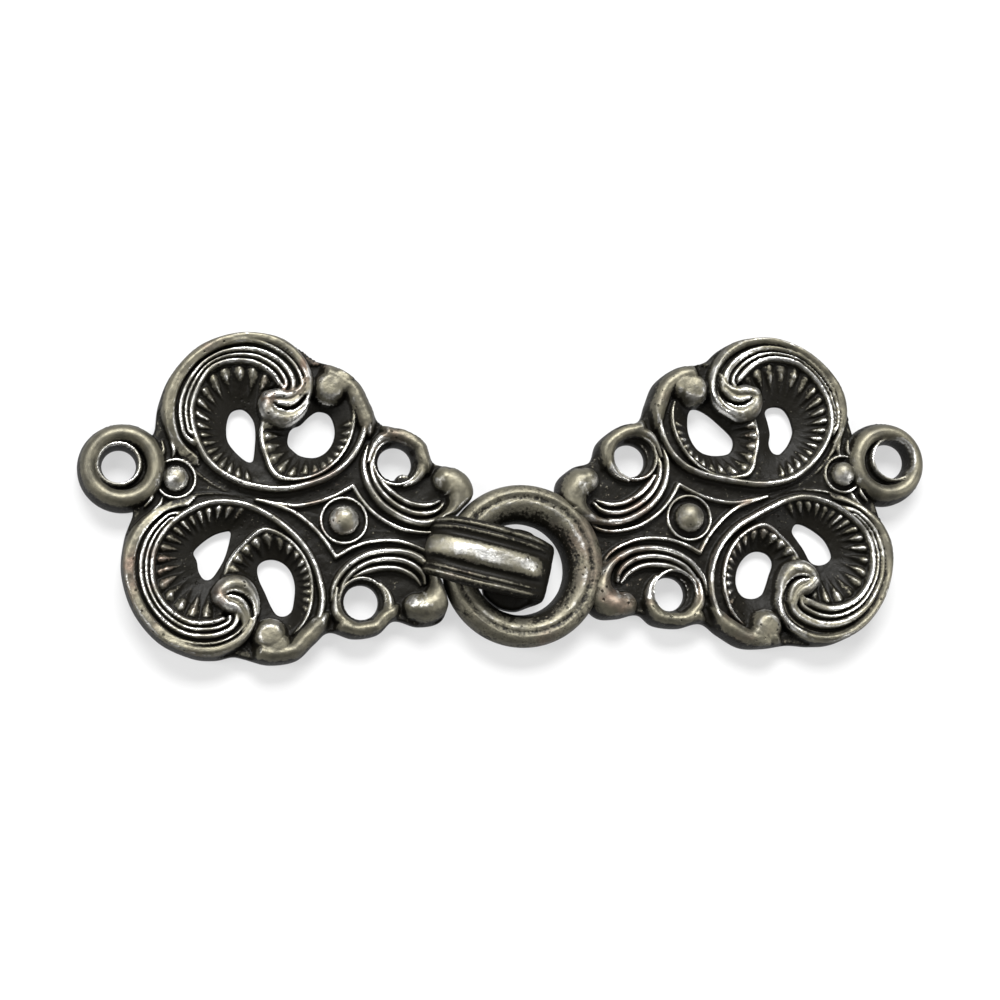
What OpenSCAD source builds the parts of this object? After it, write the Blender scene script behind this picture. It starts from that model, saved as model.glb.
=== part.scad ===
// Hook and eye clasp: two cast scroll plates, one with a ribbed hook and one
// with a ring. It lies fastened on its back, +Z up, with X along its length.
// A half is drawn once, in its own frame: u runs from the sewing loop to the
// middle of the clasp, v runs across, and each half is the same on both sides
// of its own axis v = 0.

/* [Clasp] */
// Length of the hook casting, from its loop to the bend of its hook
hook_length = 36.2; // [34:0.1:42]
// Angle that each half drops from the straight line, in degrees
half_turn = 14.7; // [0:0.1:18]
// Play between the ring and the hook plate's end
ring_play = 0.25; // [0.15:0.05:0.3]

/* [Plate] */
// Height of the sunk panels above the back
deck = 1.3; // [1:0.05:1.4]
// Height of the broad outer rims
rim_top = 2.5; // [2.3:0.05:2.7]
// Height of the fine ridges
ridge_top = 2.2; // [2:0.05:2.4]
// Height of the thin lines round the star panel
line_top = 1.7; // [1.6:0.05:1.8]

/* [Sewing holes] */
// Diameter of the six holes for needle and thread
hole_d = 2.6; // [2.2:0.1:2.8]
// Radius of the end loop
loop_r = 3.05; // [2.9:0.05:3.2]

/* [Balls and beads] */
// Radius of the ball beside each big scroll
scroll_ball_r = 1.25; // [1:0.05:1.4]
// Radius of the ball that ends each small scroll
end_ball_r = 1.4; // [1.2:0.05:1.5]
// Radius of the bead in the star panel
star_bead_r = 1.1; // [0.9:0.05:1.2]
// Radius of the bead beside the loop
neck_bead_r = 0.85; // [0.7:0.05:0.9]

/* [Ring] */
// Outer diameter of the ring
ring_od = 12.4; // [12.2:0.1:12.5]
// Diameter of the ring's hole
ring_id = 8.1; // [8:0.1:8.4]
// Height of the ring's top above the back
ring_top = 2.6; // [2.4:0.05:2.65]

/* [Hook] */
// Width of the hook's tongue
tongue_w = 4.8; // [4.2:0.1:4.9]
// Height of the tongue's underside over the ring
tongue_under = 2.9; // [2.85:0.05:3]
// Thickness of the tongue between its ribs
tongue_t = 1.1; // [0.9:0.05:1.3]

/* [Hidden] */

// Columns of the ridge tables
U = 0;
V = 1;
HALF_W = 2;
TOP = 3;

// Points worked out between two rows of a table
steps = 2;
// How far the foot of a ridge is sunk into the deck
sink = 0.2;
// Sections of a ridge from one foot to the other, as shares of its half
// width and of its height
round_profile = [[1, 0], [0.75, 0.75], [0, 1], [-0.75, 0.75], [-1, 0]];
sharp_profile = [[1, 0], [0, 1], [-1, 0]];

// Places on a half's axis
ring_u = 30.7;
plate_end_u = 24.4;
plate_end_half = 2.2;
// Root of the ring, which fills the crevices between it and its plate: its far
// end and half its width
root_u = 26.5;
root_half = 4.6;
neck_bead_u = 4.1;
star_bead_u = 17.1;
// Places off the axis
sew_hole = [20.1, 5.35];
end_ball = [24.4, 4.55];
scroll_ball = [14.1, 9.95];
leaf_tip = [9.55, 7.6];

// Edge of the plate from the loop's neck to the last ball, then to the axis
edge = [
    [1.75, 2.5], [1.95, 3.3], [1.8, 5.2], [2.2, 7.6], [3.7, 10.1], [6.0, 11.85], [8.6, 12.5],
    [10.6, 12.15], [12.2, 11.65], [14.2, 11.55], [16.1, 10.8], [17.3, 9.3], [18.2, 8.2],
    [20.2, 8.2], [21.9, 7.6], [22.8, 6.35], [24.3, 6.25], [25.6, 5.6], [26.05, 4.35],
    [25.45, 3.2], [24.8, 2.6]
];

// Pierced openings of one scroll, each a closed curve through its points
round_opening = [
    [6.85, 4.9], [7.15, 5.95], [7.8, 6.55], [8.55, 6.4], [8.95, 5.5], [9.2, 4.3], [9.45, 3.2],
    [8.95, 2.75], [8.0, 3.15], [7.2, 4.0]
];
long_opening = [
    [11.75, 5.2], [12.1, 4.45], [12.9, 4.05], [13.9, 4.25], [14.75, 5.0], [15.1, 6.2],
    [14.95, 7.3], [14.3, 7.95], [13.5, 7.6], [12.9, 6.8], [12.3, 6.0]
];

// Broad outer rim of the big scroll, which ends as the lower lip of the leaf
outer_rim = [
    [3.3, 2.5, 0.35, 1.9], [2.55, 4.2, 0.5, 2.3], [2.45, 6.4, 0.55, rim_top],
    [3.3, 8.7, 0.58, rim_top], [4.8, 10.5, 0.6, rim_top], [6.6, 11.55, 0.6, rim_top],
    [8.7, 11.9, 0.56, rim_top], [10.5, 11.3, 0.46, rim_top], [11.75, 10.2, 0.38, ridge_top],
    [12.25, 8.9, 0.32, ridge_top], [11.95, 7.7, 0.3, ridge_top], [11.1, 6.95, 0.28, ridge_top],
    [10.1, 6.8, 0.3, ridge_top], [9.4, 7.2, 0.3, ridge_top]
];
// Fine ridge that runs round both openings, from its tip near the leaf
inner_ridge = [
    [9.95, 9.1, 0.12, 1.7], [9.1, 9.8, 0.22, ridge_top], [7.6, 10.1, 0.25, ridge_top],
    [5.9, 9.6, 0.25, ridge_top], [4.5, 8.1, 0.25, ridge_top], [3.9, 6.1, 0.25, ridge_top],
    [4.3, 4.0, 0.25, ridge_top], [5.6, 2.2, 0.25, ridge_top], [7.5, 1.15, 0.25, ridge_top],
    [9.8, 0.8, 0.25, ridge_top], [12.2, 1.1, 0.25, ridge_top], [14.6, 2.05, 0.25, ridge_top],
    [16.4, 3.85, 0.27, ridge_top], [17.15, 6.2, 0.27, ridge_top], [16.85, 8.2, 0.27, ridge_top],
    [15.9, 9.5, 0.27, ridge_top]
];
// Shares of the way from the outer rim to the inner ridge of the two ridges
// that fan out between them
fan_shares = [0.4, 0.72];
// Rows of the two tables above that the fan follows, the outer one first
fan_rows = [[1, 6], [2, 5], [3, 4], [4, 3], [6, 2], [7, 1]];
// Where each fanned ridge runs into the leaf after its last row
fan_ends = [
    [[11.45, 9.55], [11.3, 8.5], [10.3, 7.95]],
    [[10.75, 9.35], [10.6, 8.6], [9.9, 8.1]]
];
fan_half_w = 0.2;

// Rim between the ball and the small scroll
side_rim = [
    [12.9, 11.0, 0.35, 2.2], [14.4, 11.05, 0.42, rim_top], [15.9, 10.35, 0.45, rim_top],
    [16.95, 9.1, 0.42, 2.3], [17.7, 7.9, 0.35, 1.9]
];
// Web between the two openings
web = [
    [11.4, 2.2, 0.2, 1.7], [10.4, 3.2, 0.25, 1.9], [9.9, 4.6, 0.28, 2.0], [9.75, 6.1, 0.3, 2.1],
    [9.6, 7.1, 0.3, ridge_top]
];
// Rim over the small scroll's hole
small_rim = [
    [18.2, 6.7, 0.35, 2.0], [18.9, 7.35, 0.42, 2.3], [20.2, 7.6, 0.45, rim_top],
    [21.5, 7.05, 0.45, rim_top], [22.35, 6.0, 0.42, 2.3], [23.3, 5.5, 0.4, 2.3]
];
// Ridges of the small scroll, the outermost first
small_ridges = [
    [
        [17.8, 6.7, 0.2, 1.8], [17.75, 5.2, 0.25, ridge_top], [18.2, 3.7, 0.28, ridge_top],
        [19.2, 2.5, 0.28, ridge_top], [20.7, 1.7, 0.28, ridge_top], [22.4, 1.4, 0.28, ridge_top],
        [23.9, 1.65, 0.3, ridge_top], [24.85, 2.5, 0.3, 2.3], [25.35, 3.7, 0.4, rim_top]
    ],
    [
        [18.4, 4.7, 0.16, 1.8], [19.1, 3.4, 0.22, ridge_top], [20.5, 2.4, 0.22, ridge_top],
        [22.2, 2.0, 0.22, ridge_top], [23.7, 2.2, 0.22, ridge_top], [24.6, 3.1, 0.25, ridge_top]
    ],
    [
        [20.8, 3.05, 0.14, 1.7], [22.1, 2.65, 0.18, 1.9], [23.3, 2.75, 0.18, 1.9],
        [24.0, 3.4, 0.16, 1.8]
    ]
];
// Thin line from the middle of the plate round the star panel's upper side
star_line_in = [
    [11.2, 0.15, 0.14, line_top], [13.0, 0.2, 0.16, line_top], [14.5, 0.75, 0.16, line_top],
    [15.9, 1.65, 0.16, line_top], [17.1, 2.65, 0.16, line_top]
];
star_line_out = [
    [17.1, 2.65, 0.16, line_top], [18.2, 1.75, 0.16, line_top], [19.6, 0.95, 0.16, line_top],
    [21.6, 0.55, 0.16, line_top], [23.5, 0.6, 0.14, line_top]
];

// Flutes that radiate round each opening: centre, half sizes of the ellipse
// at their outer ends and at their inner ends, first and last angle, count
FLUTE_CENTRE = 0;
FLUTE_OUT = 1;
FLUTE_IN = 2;
FLUTE_SPAN = 3;
FLUTE_COUNT = 4;
flute_bands = [
    [[8.1, 5.55], [3.65, 3.85], [2.45, 2.65], [75, 290], 16],
    [[13.2, 5.6], [2.95, 3.3], [2.1, 2.35], [-196, 40], 16]
];
flute_out_rise = 0.65;
flute_in_rise = 0.1;

// Raised ring round the neck bead and round the star bead: place on the axis,
// radius, half width
collars = [[neck_bead_u, 1.5, 0.16], [star_bead_u, 1.75, 0.16]];
// Bead that surrounds each sewing hole: middle radius, half width, height
hole_rim = [2.0, 0.62, ridge_top + 0.15];
// The same round the loop's hole, where it fills the loop
loop_rim_r = 2.15;
loop_rim = [loop_rim_r, loop_r - loop_rim_r - 0.05, rim_top];
leaf_r = 0.85;
// Height of a ball's middle above the deck, as a share of its radius
ball_rise = 0.35;
// Sides of the balls, of the raised rings, of the ring, and of round cuts
ball_sides = 12;
collar_sides = 20;
ring_sides = 40;
round_sides = 48;

// Section of the ring, from the back of its hole up and over its two beads:
// share of the way from the hole's wall to the outer edge, share of its height
ring_r = ring_od / 2;
ring_hole_r = ring_id / 2;
ring_section = [
    [-0.1, 0.08], [-0.19, 0.15], [-0.13, 0.4], [0, 0.72], [0.12, 0.87], [0.3, 0.78],
    [0.44, 0.93], [0.6, 1], [0.84, 0.86], [1, 0.58], [0.93, 0.25], [0.67, 0.08]
];

// Hook's strip, seen from the side: place and height of the middle of its
// thickness, thickness, and width as a share of the tongue's. It rises from
// the plate's end, runs out over the ring, and turns back below as a wider lip
UP = 1;
THICK = 2;
WIDE = 3;
over = tongue_under + tongue_t / 2;
lip_t = 0.9;
lip_z = 0.5;
bend_u = 33.15;
hook_line = [
    [23.9, 0.3, 0.9, 1], [23.92, 1.6, 0.9, 1], [24.25, over - 0.8, 1.0, 1],
    [25.3, over - 0.15, tongue_t, 1], [27.2, over, tongue_t, 1], [29.4, over, tongue_t, 1],
    [31.0, over - 0.25, tongue_t, 1], [32.15, over - 0.9, tongue_t, 1],
    [bend_u - tongue_t / 2, 1.7, tongue_t, 1.05], [32.2, 0.85, 1.0, 1.15],
    [31.3, lip_z, lip_t, 1.2], [30.2, lip_z, lip_t, 1.2], [29.3, lip_z, lip_t, 1.1],
    [28.4, lip_z, 0.8 * lip_t, 0.7]
];
// Rows of the hook's strip between which its ribs stand up
rib_from = 1;
rib_to = 9;
// Half of the tongue's top from its middle to its side: share of half the
// width, and height. A broad rib lies in the middle and a fine one by the side
tongue_top = [[0, 0.38], [0.35, 0.28], [0.5, 0], [0.74, 0], [0.87, 0.2], [1, 0]];

hook_drawn = loop_r + bend_u;
eye_drawn = loop_r + ring_u + ring_r;
grow = hook_length / hook_drawn;
hole_r = hole_d / 2;
// The ring's middle in the frame of the part
ring_centre = [0.105, -5.45, 0];
// How far a cut runs past the faces that it opens
cut_over = 1;

// Point at share t between p1 and p2 on a smooth curve through all four
function blend(p0, p1, p2, p3, t) =
    0.5 * (2 * p1 + (p2 - p0) * t + (2 * p0 - 5 * p1 + 4 * p2 - p3) * t * t
    + (3 * p1 - p0 - 3 * p2 + p3) * t * t * t);

// Open curve through the rows of a table
function curve(rows, n = steps) =
    let (last = len(rows) - 1)
    concat(
        [for (i = [0:last - 1]) for (k = [0:n - 1])
            blend(rows[max(i - 1, 0)], rows[i], rows[i + 1], rows[min(i + 2, last)], k / n)],
        [rows[last]]
    );

// Closed curve through points
function closed_curve(points, n = steps) =
    let (m = len(points))
    [for (i = [0:m - 1]) for (k = [0:n - 1])
        blend(points[(i + m - 1) % m], points[i], points[(i + 1) % m], points[(i + 2) % m], k / n)];

function flat(p) = [p[U], p[V]];
function unit(d) = d / norm(d);
function left_of(d) = [-d[1], d[0]];
function on_ellipse(centre, size, angle) = centre + [size[0] * cos(angle), size[1] * sin(angle)];
function reversed(list) = [for (i = [len(list) - 1:-1:0]) list[i]];
function mirrored(list) = [for (p = reversed(list)) [p[U], -p[V]]];

// Faces that skin a tube of n stations with m points each, closed at its ends
function tube_faces(n, m) = concat(
    [for (i = [0:n - 2]) for (j = [0:m - 1])
        [i * m + j, (i + 1) * m + j, (i + 1) * m + (j + 1) % m, i * m + (j + 1) % m]],
    [[for (j = [0:m - 1]) j]],
    [[for (j = [m - 1:-1:0]) (n - 1) * m + j]]
);

// Ridge on the deck along the rows of a table: half round, or sharp where fine
module ridge(rows, round = false, n_span = 1) {
    path = curve(rows, n_span);
    n = len(path);
    profile = round ? round_profile : sharp_profile;
    points = [for (i = [0:n - 1])
        let (
            ahead = flat(path[min(i + 1, n - 1)]),
            behind = flat(path[max(i - 1, 0)]),
            across = left_of(unit(ahead - behind)) * path[i][HALF_W],
            foot = deck - sink
        )
        for (p = profile)
            [each (flat(path[i]) + across * p[0]), foot + (path[i][TOP] - foot) * p[1]]];
    polyhedron(points, tube_faces(n, len(profile)));
}

// Band of flutes that slope down towards an opening: crests and valleys take
// turns round it
module flute_band(band) {
    stations = 2 * band[FLUTE_COUNT];
    span = band[FLUTE_SPAN];
    foot = deck - sink;
    points = [for (i = [0:stations])
        let (
            angle = span[0] + (span[1] - span[0]) * i / stations,
            rise = i % 2,
            from = on_ellipse(band[FLUTE_CENTRE], band[FLUTE_OUT], angle),
            to = on_ellipse(band[FLUTE_CENTRE], band[FLUTE_IN], angle)
        )
        each [
            [each to, foot], [each to, deck + rise * flute_in_rise],
            [each from, deck + rise * flute_out_rise], [each from, foot]
        ]];
    polyhedron(points, tube_faces(stations + 1, 4));
}

// The two ridges that fan out between the outer rim and the inner ridge
module fan() {
    for (k = [0:len(fan_shares) - 1]) {
        body = [for (pair = fan_rows)
            flat(outer_rim[pair[0]]) * (1 - fan_shares[k])
            + flat(inner_ridge[pair[1]]) * fan_shares[k]];
        ridge([for (p = concat(body, fan_ends[k])) [each p, fan_half_w, ridge_top]]);
    }
}

// Ball or bead with its middle sunk to the deck
module bead(at, r) {
    translate([each at, deck + r * ball_rise]) sphere(r, $fn = ball_sides);
}

// Ring-shaped ridge
module ring_ridge(at, r, half_w, top, round = false) {
    foot = deck - sink;
    profile = round ? round_profile : sharp_profile;
    translate([each at, foot]) rotate_extrude($fn = collar_sides) translate([r, 0])
        polygon([for (p = profile) [-half_w * p[0], (top - foot) * p[1]]]);
}

// Raised scrollwork on one side of a half's axis
module scrollwork() {
    ridge(outer_rim, round = true, n_span = steps);
    fan();
    ridge(inner_ridge);
    ridge(side_rim, round = true, n_span = steps);
    ridge(web);
    ridge(small_rim, round = true, n_span = steps);
    for (i = [0:2]) ridge(small_ridges[i], n_span = i == 0 ? steps : 1);
    ridge(star_line_in);
    ridge(star_line_out);
    for (band = flute_bands) flute_band(band);
    bead(scroll_ball, scroll_ball_r);
    bead(end_ball, end_ball_r);
    bead(leaf_tip, leaf_r);
    ring_ridge(sew_hole, hole_rim[0], hole_rim[1], hole_rim[2], round = true);
}

// Outline of a plate: the loop, both sides of the edge, and the flat end
module outline() {
    side = curve(edge);
    end = [[plate_end_u, plate_end_half], [plate_end_u, -plate_end_half]];
    union() {
        polygon(concat(side, end, mirrored(side)));
        circle(loop_r, $fn = round_sides);
    }
}

module openings() {
    for (side = [1, -1]) scale([1, side]) {
        polygon(closed_curve(round_opening));
        polygon(closed_curve(long_opening));
    }
}

// Plate with its scrollwork, pierced through, without its sewing holes
module plate() {
    difference() {
        union() {
            linear_extrude(deck) outline();
            for (side = [0, 1]) mirror([0, side, 0]) scrollwork();
            ring_ridge([0, 0], loop_rim[0], loop_rim[1], loop_rim[2], round = true);
            bead([neck_bead_u, 0], neck_bead_r);
            bead([star_bead_u, 0], star_bead_r);
            for (c = collars) ring_ridge([c[0], 0], c[1], c[2], line_top);
        }
        translate([0, 0, -cut_over]) linear_extrude(rim_top + 2 * cut_over) openings();
    }
}

module hook_tongue() {
    path = curve(hook_line);
    n = len(path);
    top = concat(
        [for (p = reversed(tongue_top)) p],
        [for (i = [1:len(tongue_top) - 1]) [-tongue_top[i][0], tongue_top[i][1]]]
    );
    points = [for (i = [0:n - 1])
        let (
            at = [path[i][U], path[i][UP]],
            step = path[min(i + 1, n - 1)] - path[max(i - 1, 0)],
            out = left_of(unit([step[U], step[UP]])),
            half_t = path[i][THICK] / 2,
            half_w = path[i][WIDE] * tongue_w / 2,
            raised = (i > steps * rib_from && i < steps * rib_to) ? 1 : 0,
            low = at - out * half_t
        )
        each concat(
            [[low[0], half_w, low[1]]],
            [for (p = top)
                let (high = at + out * (half_t + raised * p[1]))
                [high[0], p[0] * half_w, high[1]]],
            [[low[0], -half_w, low[1]]]
        )];
    polyhedron(points, tube_faces(n, len(top) + 2));
}

module ring_root() {
    start = plate_end_u - sink;
    translate([start, -root_half, 0]) cube([root_u - start, 2 * root_half, deck]);
}

module ring() {
    translate([ring_u, 0, 0]) rotate_extrude($fn = ring_sides)
        polygon([for (p = ring_section)
            [ring_hole_r + (ring_r - ring_hole_r) * p[0], ring_top * p[1]]]);
}

// The three exact sewing holes of a half, at the finished size
module sewing_holes() {
    for (at = [[0, 0], sew_hole, [sew_hole[0], -sew_hole[1]]])
        translate([at[0] * grow, at[1] * grow, -cut_over])
            cylinder(r = hole_r, h = rim_top * grow + 2 * cut_over, $fn = round_sides);
}

// Moves a half from its own frame to the clasp: side 1 is the hook's, -1 the eye's
module seat(side, reach) {
    translate(ring_centre) rotate([0, 0, -side * half_turn])
        mirror([side > 0 ? 0 : 1, 0, 0]) translate([-reach, 0, 0]) children();
}

module hook_half() {
    color([0.46, 0.44, 0.37]) seat(1, (ring_u + ring_play) * grow) difference() {
        resize([hook_drawn * grow, 0, 0], auto = true) union() {
            plate();
            hook_tongue();
        }
        sewing_holes();
    }
}

module eye_half() {
    color([0.46, 0.44, 0.37]) seat(-1, ring_u * grow) difference() {
        resize([eye_drawn * grow, 0, 0], auto = true) union() {
            plate();
            ring_root();
            ring();
        }
        sewing_holes();
    }
}

hook_half();
eye_half();
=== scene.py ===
"""Looks of a fastened hook and eye clasp: two cast scroll plates in antiqued pewter.

A half is worked out in millimetres in its own frame. There u runs from the middle of
its sewing loop to the middle of the clasp, v runs across it and z runs up from its
flat back. Each half is then turned and shifted to where the frame has it, in metres.
"""

import logging
import math
from dataclasses import dataclass
from enum import Enum

import bpy
import numpy as np
from mathutils import Matrix, Vector


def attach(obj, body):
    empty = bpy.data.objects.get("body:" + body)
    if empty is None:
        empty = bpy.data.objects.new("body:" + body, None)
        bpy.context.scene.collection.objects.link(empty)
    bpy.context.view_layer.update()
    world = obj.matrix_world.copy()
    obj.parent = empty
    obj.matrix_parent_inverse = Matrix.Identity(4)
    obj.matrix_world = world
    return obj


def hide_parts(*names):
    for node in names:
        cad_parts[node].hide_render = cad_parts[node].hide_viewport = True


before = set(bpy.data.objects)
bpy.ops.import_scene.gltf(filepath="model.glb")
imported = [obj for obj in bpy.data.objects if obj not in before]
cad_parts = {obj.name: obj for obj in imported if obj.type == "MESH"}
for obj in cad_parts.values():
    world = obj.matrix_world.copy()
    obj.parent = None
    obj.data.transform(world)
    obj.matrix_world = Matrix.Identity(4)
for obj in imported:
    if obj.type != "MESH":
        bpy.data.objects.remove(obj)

LOG = logging.getLogger("clasp")
MM = 0.001
SLOT = "antiqued_pewter"
BODY = "root"
TINY = 1e-6

Array = np.ndarray
Rows = tuple[tuple[float, ...], ...]
Pair = tuple[float, float]
Span = tuple[float, float, float]
Colour = tuple[float, float, float, float]


class Side(Enum):
    """Which half of the clasp: 1 has the hook and lies at -X, -1 has the ring."""

    HOOK = 1
    EYE = -1


class Profile(Enum):
    """Section of a raised ridge, by the power that its flanks fall with."""

    ROUND = 0.55
    FINE = 0.9


def smooth_curve(rows: Rows | Array, per_span: int = 10, closed: bool = False) -> Array:
    """Smooth curve through the rows of a table.

    Between rows p1 and p2 it is half of 2 p1 + (p2 - p0) t
    + (2 p0 - 5 p1 + 4 p2 - p3) t^2 + (3 p1 - p0 - 3 p2 + p3) t^3, t from 0 to 1.

    Args:
        rows: one row for each point, with any number of columns.
        per_span: points worked out for each span between two rows.
        closed: whether the last row runs on into the first.

    Returns:
        The curve's points, one row each.
    """
    p = np.asarray(rows, float)
    n = len(p)
    if closed:
        near = (np.arange(n)[:, None] + np.arange(-1, 3)) % n
    else:
        near = np.clip(np.arange(n - 1)[:, None] + np.arange(-1, 3), 0, n - 1)
    p0, p1, p2, p3 = (p[near[:, k]][:, None] for k in range(4))
    t = (np.arange(per_span) / per_span)[None, :, None]
    points = 0.5 * (
        2 * p1 + (p2 - p0) * t + (2 * p0 - 5 * p1 + 4 * p2 - p3) * t**2
        + (3 * p1 - p0 - 3 * p2 + p3) * t**3
    )
    points = points.reshape(-1, p.shape[1])
    return points if closed else np.vstack([points, p[-1:]])


def nearest_on(line: Array, points: Array, block: int = 6000) -> tuple[Array, Array, Array]:
    """Nearest place on a polyline for each of many points.

    On each piece from a to b the nearest place is a + t (b - a), where t is the
    point's share of the way along it, kept from 0 to 1. The least distance wins.

    Args:
        line: the polyline, its first two columns the place.
        points: places, one row each.
        block: how many points are worked out at a time.

    Returns:
        The distance, the sign (1 where the point lies left of the line) and the
        polyline's columns there.
    """
    start, step = line[:-1], np.diff(line, axis=0)
    along = step[:, :2]
    length2 = np.maximum((along**2).sum(1), TINY)
    gaps, signs, columns = [], [], []
    for part in np.array_split(points, max(len(points) // block, 1)):
        to = part[:, None] - start[None, :, :2]
        t = np.clip((to * along).sum(2) / length2, 0, 1)
        off = to - t[..., None] * along
        gap2 = (off**2).sum(2)
        best = gap2.argmin(1)
        row = np.arange(len(part))
        t_best = t[row, best]
        gaps.append(np.sqrt(gap2[row, best]))
        side = along[best, 0] * off[row, best, 1] - along[best, 1] * off[row, best, 0]
        signs.append(np.where(side >= 0, 1.0, -1.0))
        columns.append(start[best] + t_best[:, None] * step[best])
    return np.concatenate(gaps), np.concatenate(signs), np.concatenate(columns)


def inside(loop: Array, points: Array) -> Array:
    """Whether each point lies in a closed loop.

    A line from the point towards +u crosses the loop an odd number of times.

    Args:
        loop: the loop's corners, not repeated at the end.
        points: places, one row each.

    Returns:
        One truth value for each point.
    """
    a, b = loop[None], np.roll(loop, -1, axis=0)[None]
    u, v = points[:, 0, None], points[:, 1, None]
    rise = b[..., 1] - a[..., 1]
    spans = (a[..., 1] > v) != (b[..., 1] > v)
    at = (b[..., 0] - a[..., 0]) * (v - a[..., 1]) / np.where(rise == 0, 1, rise) + a[..., 0]
    return ((spans & (u < at)).sum(1) % 2) == 1


def signed_distance(loop: Array, points: Array) -> Array:
    """Distance to a closed loop, more than 0 inside it and less than 0 outside.

    Args:
        loop: the loop's corners, not repeated at the end.
        points: places, one row each.

    Returns:
        One distance for each point.
    """
    gap, _, _ = nearest_on(np.vstack([loop, loop[:1]]), points)
    return np.where(inside(loop, points), gap, -gap)


def smooth_step(low: float, high: float, x: Array) -> Array:
    """S-shaped ramp 3 t^2 - 2 t^3, with t running from 0 at low to 1 at high."""
    t = np.clip((x - low) / (high - low), 0, 1)
    return t * t * (3 - 2 * t)


def mottle(x: Array, y: Array, cell: float, seed: int) -> Array:
    """Smooth random pattern about 0 in the plane.

    Random heights on a square lattice are blended with S-shaped ramps between its
    corners. Three lattices are added up, each with half the cell and half the height
    of the one before.

    Args:
        x: first coordinate, in millimetres.
        y: second coordinate, in millimetres.
        cell: the coarsest lattice's spacing, in millimetres.
        seed: the draw.

    Returns:
        Values from about -1 to 1.
    """
    lattice, start_x, start_y, most = 257, 31.7, 17.3, 1.5
    rng = np.random.default_rng(seed)
    total = np.zeros_like(x)
    for k in range(3):
        heights = rng.uniform(-1, 1, (lattice, lattice))
        gx, gy = x * 2**k / cell + start_x, y * 2**k / cell + start_y
        ix, iy = np.floor(gx).astype(int), np.floor(gy).astype(int)
        fx, fy = smooth_step(0, 1, gx - ix), smooth_step(0, 1, gy - iy)
        ix, iy = ix % (lattice - 1), iy % (lattice - 1)
        low = heights[ix, iy] * (1 - fx) + heights[ix + 1, iy] * fx
        high = heights[ix, iy + 1] * (1 - fx) + heights[ix + 1, iy + 1] * fx
        total += (low * (1 - fy) + high * fy) / 2**k
    return total / most


def with_ridge(height: Array, x: Array, top: Array | float, foot: float, profile: Profile,
               share: Array | float = 1.0) -> Array:
    """Height with a ridge standing on it.

    Across the ridge it is foot + share (top - foot) (1 - x^2)^power, where x runs
    from 0 on the crest to 1 at either foot, and the higher of the two counts.

    Args:
        height: height of each node.
        x: distance of each from the crest, over half the ridge's width.
        top: height of the crest.
        foot: height of the ridge's feet.
        profile: the ridge's section.
        share: share of its full rise.

    Returns:
        The new height of each node.
    """
    rise = share * (top - foot) * np.clip(1 - x * x, 0, 1) ** profile.value
    return np.maximum(height, np.where(x < 1, foot + rise, 0))


@dataclass
class Shell:
    """A surface in a half's frame, with the measures that its finish reads."""

    points: Array
    faces: Array
    relief: Array
    crest: Array

    def outward(self) -> "Shell":
        """Turn the faces outwards, by the sign of the volume.

        Returns:
            The same surface, its faces outwards.
        """
        a, b, c = (self.points[self.faces[:, k]] for k in range(3))
        volume = (a * np.cross(b, c)).sum() / 6
        faces = self.faces if volume > 0 else self.faces[:, ::-1]
        return Shell(self.points, faces, self.relief, self.crest)


@dataclass(frozen=True)
class Seat:
    """Where a half lies in the clasp: turned about the ring's middle and dropped."""

    side: Side
    reach: float
    half_turn_deg: float = 14.7
    ring_middle: tuple[float, float] = (0.105, -5.45)

    def place(self, points: Array) -> Array:
        """Take points from the half's frame to the clasp's, in metres.

        x is side (u - reach), and then x and v turn by -side times the half turn
        about the ring's middle.

        Args:
            points: places in the half's frame, in millimetres.

        Returns:
            The same places in the clasp's frame, in metres.
        """
        turn = -self.side.value * math.radians(self.half_turn_deg)
        x, y = self.side.value * (points[:, 0] - self.reach), points[:, 1]
        out = np.empty_like(points)
        out[:, 0] = self.ring_middle[0] + math.cos(turn) * x - math.sin(turn) * y
        out[:, 1] = self.ring_middle[1] + math.sin(turn) * x + math.cos(turn) * y
        out[:, 2] = points[:, 2]
        return out * MM

    def piece(self, name: str, shell: Shell) -> bpy.types.Object:
        """Make a Blender object of a surface, at its place.

        Args:
            name: the object's name.
            shell: the surface in the half's frame.

        Returns:
            The object, at the origin with its place in its mesh.
        """
        placed = Shell(self.place(shell.points), shell.faces, shell.relief, shell.crest)
        placed = placed.outward()
        mesh = bpy.data.meshes.new(name)
        mesh.vertices.add(len(placed.points))
        mesh.vertices.foreach_set("co", placed.points.astype(np.float32).ravel())
        mesh.loops.add(placed.faces.size)
        mesh.loops.foreach_set("vertex_index", placed.faces.astype(np.int32).ravel())
        mesh.polygons.add(len(placed.faces))
        starts = np.arange(0, placed.faces.size, 3, dtype=np.int32)
        mesh.polygons.foreach_set("loop_start", starts)
        mesh.update(calc_edges=True)
        mesh.validate()
        for key, values in (("relief", placed.relief), ("crest", placed.crest)):
            layer = mesh.attributes.new(key, "FLOAT", "POINT")
            layer.data.foreach_set("value", values.astype(np.float32))
        mesh.shade_smooth()
        thing = bpy.data.objects.new(name, mesh)
        bpy.context.scene.collection.objects.link(thing)
        return thing


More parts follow.
